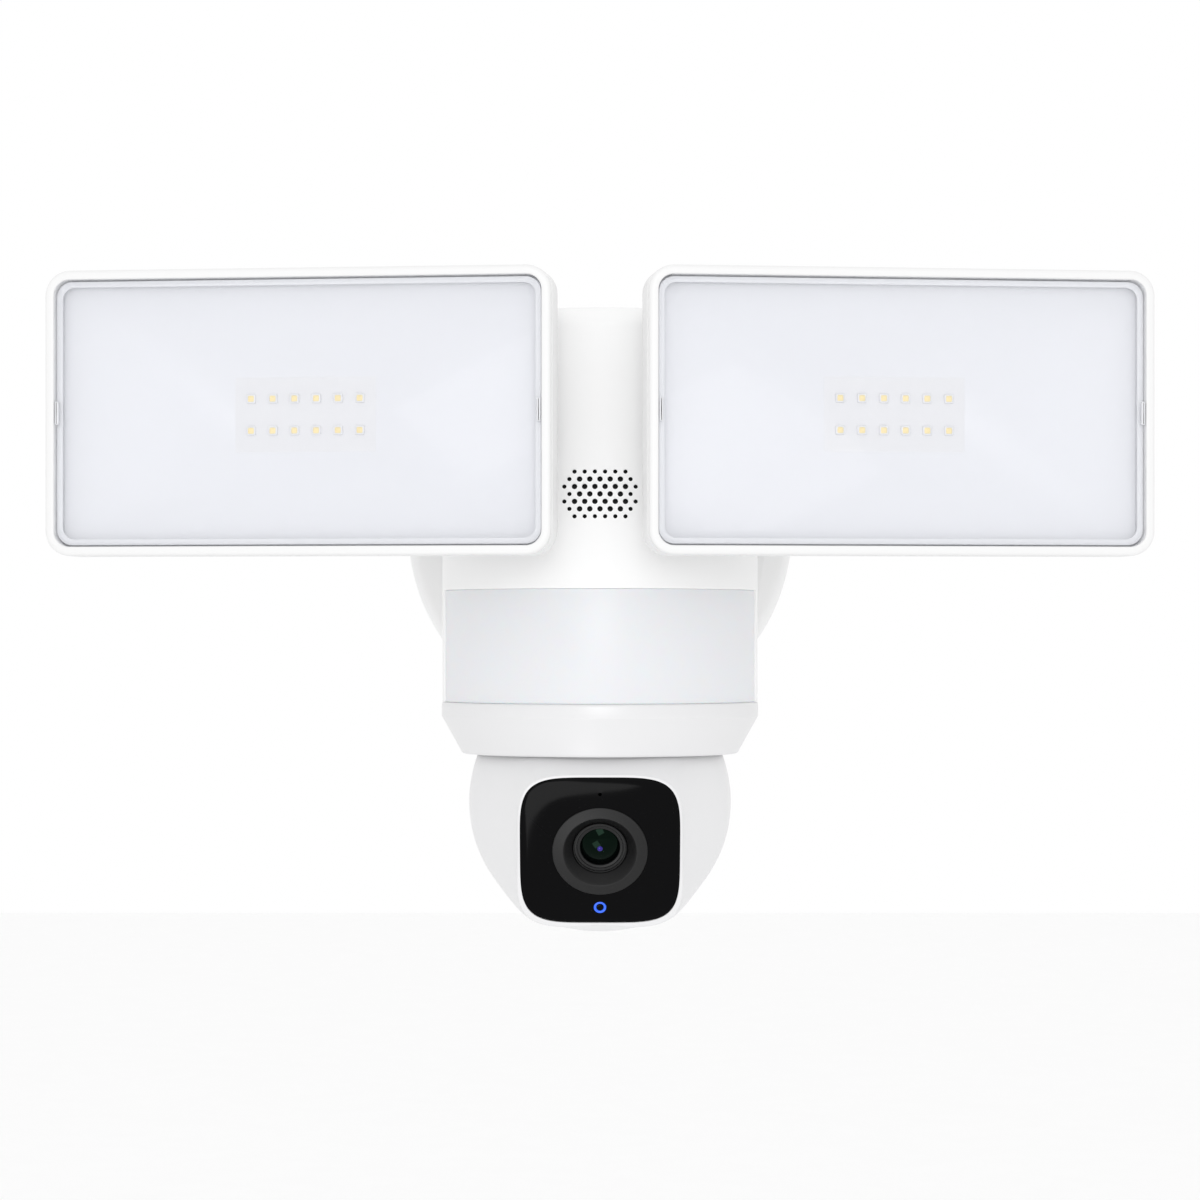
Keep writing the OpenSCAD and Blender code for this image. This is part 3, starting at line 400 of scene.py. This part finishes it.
def apply_modifiers(piece):
    """Bakes a piece's modifiers into its mesh."""
    graph = bpy.context.evaluated_depsgraph_get()
    mesh = bpy.data.meshes.new_from_object(piece.evaluated_get(graph))
    piece.modifiers.clear()
    piece.data = mesh


def softened(node, material, width_mm, body, name=None, segments=2):
    """A CAD node's shape with its sharp edges rounded, as a moulded or cast piece has them."""
    bm = bmesh.new()
    bm.from_mesh(frame["nodes"][node].data)
    bmesh.ops.remove_doubles(bm, verts=bm.verts, dist=2e-6)
    bmesh.ops.dissolve_limit(bm, angle_limit=math.radians(0.6), verts=bm.verts, edges=bm.edges)
    mesh = bpy.data.meshes.new(node)
    bm.to_mesh(mesh)
    bm.free()
    piece = new_piece(name or node + "_finished", mesh, [material], body, [node])
    bevel = piece.modifiers.new("edge", "BEVEL")
    bevel.width = width_mm * MM
    bevel.segments = segments
    bevel.limit_method = "ANGLE"
    bevel.angle_limit = math.radians(38)
    bevel.use_clamp_overlap = True
    apply_modifiers(piece)
    piece.data.shade_smooth()
    piece.data.set_sharp_from_angle(angle=math.radians(32))
    return piece


def centre_of(node):
    low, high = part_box(node)
    return (low + high) / 2


def body_place():
    """The round body's upright axis at the wall plate's height."""
    pan = Vector(JOINTS["camera_pan"]["pos_m"])
    return Matrix.Translation((pan.x, pan.y, 0))


def camera_place():
    """The ball's frame: looks along -Y from the ball's centre."""
    tilt = math.radians(bpy.context.scene.flood_camera.tilt)
    return Matrix.Translation(JOINTS["camera_tilt"]["pos_m"]) @ Matrix.Rotation(tilt, 4, "X")


def lamp_place(side):
    """A lamp's frame: origin at the middle of its front, +X to its outer end, +Y backward."""
    joint = JOINTS["lamp_%s_tilt" % side]
    across = Vector(joint["axis"]).normalized()
    back = UP.cross(across)
    origin = Vector(joint["pos_m"]) - back * bpy.context.scene.flood_lamp.setback * MM
    return Matrix(((across.x, back.x, 0, origin.x), (across.y, back.y, 0, origin.y),
                   (across.z, back.z, 1, origin.z), (0, 0, 0, 1)))


def facing(place):
    """Turns a frame so that its Z axis points along the old -Y."""
    return place @ Matrix.Rotation(math.radians(90), 4, "X")


def lamp_size():
    """Width and height of a lamp head in mm, from its joint's axis and its box."""
    low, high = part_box("lamp_bezel_right")
    yaw = math.atan2(JOINTS["lamp_right_tilt"]["axis"][1], JOINTS["lamp_right_tilt"]["axis"][0])
    depth = bpy.context.scene.flood_lamp.bezel_depth + 2
    wide = ((high.x - low.x) / MM - depth * math.sin(yaw)) / math.cos(yaw)
    return round(wide, 1), (high.z - low.z) / MM


# ---------- operators ----------

class FLOOD_OT_finishes(bpy.types.Operator):
    """Gives every CAD node that stays in sight a finish"""
    bl_idname = "flood.finishes"
    bl_label = "Finishes"

    def execute(self, context):
        make_materials()
        slots = {part["node"]: part["material_slot"] for part in frame["record"]["subparts"]}
        for name, node in frame["nodes"].items():
            material = MATERIALS[SLOT_FINISH[slots[name]]]
            node.data.materials.clear()
            node.data.materials.append(material)
            node.data.shade_smooth()
            node.data.set_sharp_from_angle(angle=math.radians(30))
        return {"FINISHED"}


SLOT_FINISH = {
    "white_shell": "ABS_moulded_satin", "white_gloss": "ABS_polished_mould",
    "canopy_paint": "Steel_powder_coated", "lamp_paint": "Aluminium_powder_coated",
    "window_milky": "HDPE_milky_moulded", "lens_clear": "Polycarbonate_clear_moulded",
    "reflector_white": "PBT_reflector_moulded", "board_white": "Solder_mask_white",
    "board_green": "FR4_solder_mask_green", "led_phosphor": "Silicone_phosphor_cast",
    "black_gloss": "Acrylic_black_polished", "black_matte": "ABS_black_textured",
    "optic_glass": "Optical_glass_coated", "blue_light": "Polycarbonate_light_pipe",
    "gasket_rubber": "EPDM_rubber_moulded", "zinc_steel": "Steel_zinc_plated",
    "motor_steel": "Steel_drawn_can", "gear_nylon": "Acetal_moulded",
    "bearing_brass": "Bronze_sintered", "frame_grey": "Nylon_glass_filled",
}


class FLOOD_OT_body(bpy.types.Operator):
    """Builds the wall canopy, the round body's shells, the window and the base ring"""
    bl_idname = "flood.body"
    bl_label = "Body"

    def execute(self, context):
        softened("canopy", "Steel_powder_coated", 0.6, "base", "canopy_spun")
        softened("rear_shell", "ABS_moulded_satin", 0.35, "base", "body_rear_moulded")
        self.front(context.scene.flood_body)
        self.ring()
        self.window()
        return {"FINISHED"}

    def front(self, body):
        """Front shell: one turned wall with a rounded top, cut at the seam and pierced over the speaker."""
        low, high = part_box("front_shell")
        reach = (body_place().translation.y - low.y) / MM
        top, foot, wall = high.z / MM, low.z / MM, body.shell
        soft, edge = body.top_round, 0.3
        outline = [(0.0, top)] + arc((reach - soft, top - soft), soft, 90, 0, 16)
        outline += arc((reach - edge, foot + edge), edge, 0, -90, 3)
        outline += [(reach - wall, foot), (reach - wall, top - soft)]
        outline += [(reach - soft, top - wall), (0.0, top - wall)]
        mesh = lathe("body_front_moulded", outline, body_place(), body.segments)
        piece = new_piece("body_front_moulded", mesh, ["ABS_moulded_satin"], "base", ["front_shell"])
        span = 2 * reach
        seam = body_place() @ Matrix.Translation(Vector((0, span - body.split, 0)) * MM)
        corners = ((-span, -span), (span, -span), (span, span), (-span, span))
        behind = [[(x, y - span, z) for x, z in corners] for y in (0, 2 * span)]
        cut(piece, loft("behind", behind, seam, True, True))
        cut(piece, self.speaker_holes(body, reach))
        self.turned_normals(piece.data, reach)

    def speaker_holes(self, body, reach):
        """One drill per speaker hole, rows of six to eight, finer round the edge."""
        height, last = centre_of("speaker").z / MM, len(SPEAKER_ROWS) - 1
        start, length = 8 - reach, 12
        drills = []
        for row, count in enumerate(SPEAKER_ROWS):
            z = height + (row - last / 2) * body.row_pitch
            for i in range(count):
                x = (i - (count - 1) / 2) * body.hole_pitch
                edge = row in (0, last) or i in (0, count - 1)
                radius = body.edge_hole_r if edge else body.hole_r
                at = facing(body_place() @ Matrix.Translation(Vector((x, start, z)) * MM))
                drills.append(lathe("drill", [(0, 0), (radius, 0), (radius, length), (0, length)], at, 24))
        return joined("drills", drills)

    def turned_normals(self, mesh, reach):
        """Gives the outer wall a turned surface's exact normals, so the holes leave no facets."""
        axis = body_place().translation
        normals = [tuple(corner.vector) for corner in mesh.corner_normals]
        for face in mesh.polygons:
            points = [mesh.vertices[v].co - axis for v in face.vertices]
            outer = all(math.hypot(p.x, p.y) > (reach - 0.1) * MM for p in points)
            if outer and abs(face.normal.z) < 0.02:
                for loop, p in zip(face.loop_indices, points):
                    normals[loop] = tuple(Vector((p.x, p.y, 0)).normalized())
        mesh.normals_split_custom_set(normals)

    def ring(self):
        """Polished ring that carries the ball: a bright lip, a straight band and a taper."""
        low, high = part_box("base_ring")
        top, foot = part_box("motion_window")[0].z / MM, low.z / MM
        reach = (high.x - low.x) / 2 / MM
        outline = arc((reach - 0.9, top - 0.9), 0.9, 90, 0, 5)
        outline += arc((reach - 0.5, top - 4.4), 0.5, 0, -30, 3)
        outline += arc((reach - 7.3, foot + 1.2), 1.2, -10, -90, 6)
        outline += arc((41.4, foot + 1.0), 1.0, 270, 180, 5)
        outline += [(40.4, foot + 2.2), (47.2, foot + 6.4), (47.2, top)]
        mesh = lathe("base_ring_polished", outline, body_place())
        new_piece("base_ring_polished", mesh, ["ABS_polished_mould"], "base", ["base_ring"])

    def window(self):
        """Milky sheet lens wrapped round the body's front, with lens ribs moulded on its inside."""
        low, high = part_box("motion_window")
        ahead = (body_place().translation.y - high.y) / MM
        reach = math.hypot(high.x / MM, ahead)
        bottom, top = low.z / MM, high.z / MM
        soft, ribs = 0.35, 12
        outline = arc((reach - soft, top - soft), soft, 90, 0, 3)
        outline += arc((reach - soft, bottom + soft), soft, 0, -90, 3)
        pitch = (top - bottom - 2) / ribs
        for i in range(ribs):
            z = bottom + 1 + i * pitch
            outline += [(reach - 1.05, z), (reach - 0.78, z + pitch * 0.86)]
        outline.append((reach - 1.05, top))
        edge = math.degrees(math.asin((ahead + 0.1) / reach))
        mesh = lathe("motion_window_ribbed", outline, body_place(), 144, 180 + edge, 180 - 2 * edge)
        new_piece("motion_window_ribbed", mesh, ["HDPE_milky_moulded"], "base", ["motion_window"])


class FLOOD_OT_lamps(bpy.types.Operator):
    """Builds both lamp heads and their arms"""
    bl_idname = "flood.lamps"
    bl_label = "Lamps"

    def execute(self, context):
        lamp = context.scene.flood_lamp
        wide, high = lamp_size()
        for side in SIDES:
            place = lamp_place(side)
            body = "lamp_" + side
            self.bezel(side, place, body, wide, high, lamp)
            self.lens(side, place, body, wide, high, lamp)
            self.leds(side, place, body, lamp)
            coat = "Aluminium_powder_coated"
            for node, material, slot, edge, rides, name in (
                    ("lamp_housing_", coat, "lamp_paint", 0.35, body, "lamp_housing_cast_"),
                    ("reflector_", "PBT_reflector_moulded", "reflector_white", 0.2, body, "reflector_moulded_"),
                    ("lamp_gasket_", "Silicone_translucent_moulded", "window_milky", 0.1, body, "lamp_seal_"),
                    ("arm_", coat, "lamp_paint", 0.5, "arm_" + side, "arm_cast_")):
                softened(node + side, material, edge, rides, name + side)
        return {"FINISHED"}

    def bezel(self, side, place, body, wide, high, lamp):
        """Rounded frame round the lens cover, with a stepped inner lip."""
        depth, rim = lamp.bezel_depth, lamp.bezel
        outer, inner = 1.3, 0.4
        outline = [(0.25, depth)] + arc((outer, outer), outer, 180, 270, 6)
        outline += arc((rim - inner, inner), inner, 270, 360, 3)
        outline += [(rim, depth - 1.0), (rim - inner, depth - 0.9), (rim - inner, depth)]
        mesh = loft("lamp_bezel_soft", frame_loops(wide, high, lamp.corner, outline), place, close=True)
        new_piece("lamp_bezel_soft_" + side, mesh, ["Aluminium_powder_coated"], body, ["lamp_bezel_" + side])

    def lens(self, side, place, body, wide, high, lamp):
        """Clear cover: a raised bead along its edge, a shallow step and a small clip at each end."""
        less = 2 * lamp.bezel
        gap, bead = 0.12, 0.3
        w, h = wide - less - gap, high - less - gap
        front, back = lamp.inset, lamp.inset + lamp.lens
        outline = [(0.0, back)] + arc((bead, front + bead), bead, 180, 270, 3)
        outline += arc((1.2, front + bead), bead, 270, 350, 3)
        outline += [(lamp.lip, front + 0.55), (lamp.lip + 0.5, front + bead)]
        loops = frame_loops(w, h, lamp.corner - lamp.bezel - 0.2, outline)
        mesh = loft("lamp_cover", loops, place, True, True)
        new_piece("lamp_cover_" + side, mesh, ["Polycarbonate_clear_moulded"], body, ["lamp_lens_" + side])
        clips = []
        for end in (-1, 1):
            at = place @ Matrix.Translation(Vector((end * (w / 2 - 0.75), front - 0.1, 0)) * MM)
            loops = frame_loops(1.1, lamp.clip, 0.5, [(0.0, 1.2)] + arc((bead, bead), bead, 180, 270, 3))
            clips.append(loft("clip", loops, at, True, True))
        new_piece("lamp_clips_" + side, joined("clips", clips), ["Silicone_translucent_moulded"], body, [])

    def leds(self, side, place, body, lamp):
        """LED packages: a white moulded frame and a domed phosphor fill."""
        cols = lamp.led_cols
        frames, fills = [], []
        front = (Matrix(place).inverted() @ centre_of("leds_" + side)).y / MM
        edge = [(0.0, 0.35)] + arc((0.25, -0.1), 0.25, 180, 270, 2) + [(0.45, -0.35), (0.5, -0.15)]
        dome = [(0.5, -0.16), (0.7, -0.24), (1.0, -0.28)]
        for i in range(cols):
            for j in (-1, 1):
                x, z = (i - (cols - 1) / 2) * lamp.led_pitch, j * lamp.led_row_pitch / 2
                at = place @ Matrix.Translation(Vector((x, front, z)) * MM)
                frames.append(loft("led_frame", frame_loops(lamp.led, lamp.led, 0.3, edge), at, True, True))
                fills.append(loft("led_fill", frame_loops(lamp.led, lamp.led, 0.3, dome), at, False, True))
        new_piece("led_frames_" + side, joined("led_frames", frames), ["Solder_mask_white"], body, [])
        new_piece("led_phosphor_" + side, joined("led_fills", fills), ["Silicone_phosphor_cast"], body,
                  ["leds_" + side])


class FLOOD_OT_camera(bpy.types.Operator):
    """Builds the ball, its black face, the lens and the status light"""
    bl_idname = "flood.camera"
    bl_label = "Camera ball"

    def execute(self, context):
        cam = context.scene.flood_camera
        place = camera_place()
        self.shell(place, cam)
        self.face(place, cam)
        self.optics(place, cam)
        softened("ball_rear_shell", "ABS_polished_mould", 0.3, "camera", "ball_rear_moulded")
        softened("card_cover", "ABS_polished_mould", 0.2, "camera", "card_cover_moulded")
        softened("sync_button", "ABS_moulded_satin", 0.3, "sync_button", "sync_button_moulded")
        return {"FINISHED"}

    def rim_radius(self, half, phi):
        """Distance from the centre to a soft square's edge in direction phi."""
        c, s = abs(math.cos(phi)), abs(math.sin(phi))
        power = bpy.context.scene.flood_camera.squareness
        return half / (c ** power + s ** power) ** (1 / power)

    def shell(self, place, cam):
        """Front of the ball: a sphere that flows into the face's rim, fullest at the lower corners."""
        turns = 192
        half = cam.face_half + cam.rim
        ball, wall = cam.ball_r, cam.wall
        loops = []
        for i in range(turns):
            phi = 2 * math.pi * i / turns
            loops.append(self.profile(phi, cam, half, ball, wall))
        count = len(loops[0])
        verts = [place @ (Vector(p) * MM) for loop in loops for p in loop]
        faces = grid_faces(turns, count, True, True)
        mesh = mesh_of("ball_front_moulded", verts, faces)
        new_piece("ball_front_moulded", mesh, ["ABS_polished_mould"], "camera", ["ball_front_shell"],
                  50)

    def profile(self, phi, cam, half, ball, wall):
        """Closed outline of the shell in one direction round the line of sight."""
        rim = self.rim_radius(half, phi)
        inner = self.rim_radius(cam.face_half + 0.1, phi)
        seam = -math.asin(cam.seam / ball)
        start = math.radians(14 + 30 * max(0.0, math.sin(phi)) ** 3)
        front = cam.face_reach - 0.25
        edge = 0.55
        full = 1.5 * max(0.0, -math.sin(phi)) * abs(math.sin(2 * phi))
        round_part = [seam + (start - seam) * k / 14 for k in range(15)]
        points = [(ball * math.cos(a), ball * math.sin(a)) for a in round_part]
        p0, p1 = points[-1], (rim + full, front - edge)
        t0, t1 = (-math.sin(start), math.cos(start)), (-0.42, 0.908)
        span = math.dist(p0, p1)
        for k in range(1, 19):
            t = k / 18
            h = (2 * t ** 3 - 3 * t ** 2 + 1, t ** 3 - 2 * t ** 2 + t,
                 -2 * t ** 3 + 3 * t ** 2, t ** 3 - t ** 2)
            points.append(tuple(h[0] * p0[n] + h[1] * span * t0[n] + h[2] * p1[n] + h[3] * span * t1[n]
                                for n in (0, 1)))
        points += arc((rim + full - edge, front - edge), edge, 20, 90, 5)
        points += [(inner, front), (inner, front - 4.4), (inner - 1.6, front - 4.4)]
        back = ball - wall
        sweep = seam * back / ball - math.radians(46.3)
        inside = [math.radians(46) + sweep * k / 12 for k in range(13)]
        points += [(back * math.cos(a), back * math.sin(a)) for a in inside]
        return [(r * math.cos(phi), -f, r * math.sin(phi)) for r, f in points]

    def face(self, place, cam):
        """Polished black face, crowned like a watch glass, pierced for the microphone and the light."""
        turns = 128
        # share of the outline, height in mm and, for the round hole at the lens, its radius in mm
        rings = [(1.0, 0.0, 0.0), (1.0, 0.35, 0.0), (0.985, 0.55, 0.0), (0.96, 0.66, 0.0), (0.9, 0.8, 0.0),
                 (0.8, 0.97, 0.0), (0.7, 1.1, 0.0), (0.0, 1.18, 14.95)]
        loops = []
        for scale, rise, ring in rings:
            loop = []
            for i in range(turns):
                phi = 2 * math.pi * i / turns
                radius = ring or scale * self.rim_radius(cam.face_half, phi)
                loop.append((radius * math.cos(phi), -(cam.face_reach - 0.9 + rise), radius * math.sin(phi)))
            loops.append(loop)
        for front in (loops[-1], loops[0]):
            loops.append([(x, -(cam.face_reach - 2), z) for x, _, z in front])
        mesh = loft("face_crowned", loops, place, close=True)
        piece = new_piece("face_crowned", mesh, ["Acrylic_black_polished"], "camera", ["face_window"],
                          40)
        for z, r in ((MIC_HEIGHT, 0.55), (LIGHT_HEIGHT, 2.05)):
            at = facing(place) @ Matrix.Translation(Vector((0, z, 30)) * MM)
            cut(piece, lathe("hole", [(0, 0), (r, 0), (r, 12), (0, 12)], at, 32))

    def optics(self, place, cam):
        """Lens barrel with a fine-ringed cone, coated glass elements (the small inner one carries a painted violet
        reflection) and the ring of the status light.
        """
        f = cam.face_reach
        at = facing(place)
        outline = arc((14.55, f + 0.2), 0.3, 0, 90, 3) + arc((11.6, f + 0.6), 0.3, 70, 150, 4)
        outline.append((11.2, f + 0.6))
        steps = 8
        for i in range(steps):
            r = 11.1 - (i + 1) * 2.6 / steps
            z = f + 0.5 - (i + 1) * 3.0 / steps
            outline += [(r + 0.1, z + 0.16), (r, z)]
        outline += arc((8.15, f - 2.2), 0.2, 0, 180, 6) + [(7.95, f - 2.6), (7.35, f - 2.6)]
        outline += arc((7.2, f - 2.55), 0.15, 0, 180, 5) + [(7.0, f - 2.8), (6.3, f - 2.95), (6.1, f - 3.3)]
        outline += [(6.05, f - 6), (5.85, f - 6), (5.85, f - 22), (12, f - 22), (12, f - 5), (14.85, f - 3.5)]
        barrel = lathe("lens_barrel_ringed", outline, at, 160)
        new_piece("lens_barrel_ringed", barrel, ["ABS_black_textured"], "camera", ["lens_barrel"],
                  25)
        dome = arc((0, f - 12.9), 11.2, 57.5, 90, 14)
        glass = [(0.0, f - 5.5), (6.0, f - 5.5)] + [(max(r, 0.0), z) for r, z in dome]
        mesh = lathe("lens_glass_domed", glass, at, 96)
        new_piece("lens_glass_domed", mesh, ["Optical_glass_coated"], "camera", ["lens_glass"])
        core = [(0.0, f - 1.9)] + [(max(r, 0.0), z) for r, z in arc((0, f - 3.55), 2.0, 55, 90, 8)]
        # A small dome at the lens's centre that carries the painted violet reflection
        new_piece("lens_core_domed", lathe("lens_core", core, at, 48), ["Optical_glass_painted_violet_reflection"], "camera", [])
        light = at @ Matrix.Translation(Vector((0, LIGHT_HEIGHT, 0)) * MM)
        ring = [(1.25, f - 2.8), (1.95, f - 2.8)] + arc((1.8, f - 0.1), 0.15, 0, 90, 3)
        ring += arc((1.4, f - 0.1), 0.15, 90, 180, 3)
        new_piece("status_ring", lathe("status_ring", ring, light, 48), ["Polycarbonate_light_pipe"],
                  "camera", ["status_light"])
        pin = [(0.0, f - 2.8), (1.1, f - 2.8)] + arc((0.95, f - 0.1), 0.15, 0, 90, 3) + [(0.0, f + 0.05)]
        new_piece("status_pin", lathe("status_pin", pin, light, 32), ["Acrylic_black_polished"], "camera", [])


class FLOOD_OT_stage(bpy.types.Operator):
    """Sets up the pale floor, the soft studio lights and the camera"""
    bl_idname = "flood.stage"
    bl_label = "Stage"

    def execute(self, context):
        stage = context.scene.flood_stage
        scene = context.scene
        camera = bpy.data.objects.new("view", bpy.data.cameras.new("view"))
        front = lamp_place("left").translation.y
        camera.location = (0, front - stage.distance * MM, stage.height * MM)
        camera.rotation_euler = (math.radians(90), 0, 0)
        camera.data.lens = stage.lens
        camera.data.sensor_width = 36
        camera.data.shift_y = stage.rise
        camera.data.clip_end = 50
        scene.collection.objects.link(camera)
        scene.camera = camera
        self.floor(stage)
        self.lights(scene)
        return {"FINISHED"}

    def floor(self, stage):
        """A pale floor well under the object."""
        size, height = 6.0, -0.62
        verts = [(-size, -size, height), (size, -size, height), (size, size, height), (-size, size, height)]
        floor = bpy.data.objects.new("floor", mesh_of("floor", verts, [(0, 1, 2, 3)]))
        bpy.context.scene.collection.objects.link(floor)
        surface("Paper_backdrop_matt", stage.backdrop, 0.8, 1.5, 0.02, 0.01)
        floor.data.materials.append(MATERIALS["Paper_backdrop_matt"])

    def lights(self, scene):
        """A bright white room, a large soft box in front and a smaller one that glints in the black face."""
        scene.view_settings.view_transform = "Standard"
        world = bpy.data.worlds.new("studio")
        scene.world = world
        world.use_nodes = True
        backdrop = next(n for n in world.node_tree.nodes if n.type == "BACKGROUND")
        backdrop.inputs["Color"].default_value = (1, 1, 1, 1)
        backdrop.inputs["Strength"].default_value = 1.0
        boxes = (("key", (0.0, -2.3, 0.3), 0.8, 9), ("glint", (-0.12, -0.62, -0.43), 0.22, 0.55))
        for name, place, size, power in boxes:
            data = bpy.data.lights.new(name, "AREA")
            data.size = size
            data.energy = power
            light = bpy.data.objects.new(name, data)
            light.location = place
            aim = (Vector((0, -0.11, -0.1)) - Vector(place)).to_track_quat("-Z", "Y").to_matrix().to_4x4()
            light.matrix_world = Matrix.Translation(place) @ aim @ Matrix.Rotation(math.radians(30), 4, "Z")
            light.visible_camera = False
            light.visible_diffuse = name == "key"
            scene.collection.objects.link(light)


class FLOOD_PT_panel(bpy.types.Panel):
    """Lists the floodlight camera's steps"""
    bl_label = "Floodlight camera"
    bl_idname = "FLOOD_PT_panel"
    bl_space_type = "VIEW_3D"
    bl_region_type = "UI"
    bl_category = "Floodlight"

    def draw(self, context):
        for operator in OPERATORS:
            self.layout.operator(operator.bl_idname)
        for group in SETTINGS:
            settings = getattr(context.scene, group)
            for name in settings.__annotations__:
                self.layout.prop(settings, name)


SETTINGS = {"flood_finish": FinishSettings, "flood_body": BodySettings, "flood_lamp": LampSettings,
            "flood_camera": CameraSettings, "flood_stage": StageSettings}
OPERATORS = (FLOOD_OT_finishes, FLOOD_OT_body, FLOOD_OT_lamps, FLOOD_OT_camera, FLOOD_OT_stage)


def register():
    for group in SETTINGS.values():
        bpy.utils.register_class(group)
    for name, group in SETTINGS.items():
        setattr(bpy.types.Scene, name, PointerProperty(type=group))
    for cls in OPERATORS + (FLOOD_PT_panel,):
        bpy.utils.register_class(cls)


def unregister():
    for cls in reversed(OPERATORS + (FLOOD_PT_panel,)):
        bpy.utils.unregister_class(cls)
    for name, group in SETTINGS.items():
        delattr(bpy.types.Scene, name)
        bpy.utils.unregister_class(group)


def main():
    register()
    bpy.ops.flood.finishes()
    bpy.ops.flood.body()
    bpy.ops.flood.lamps()
    bpy.ops.flood.camera()
    bpy.ops.flood.stage()


if __name__ == "__main__":
    main()
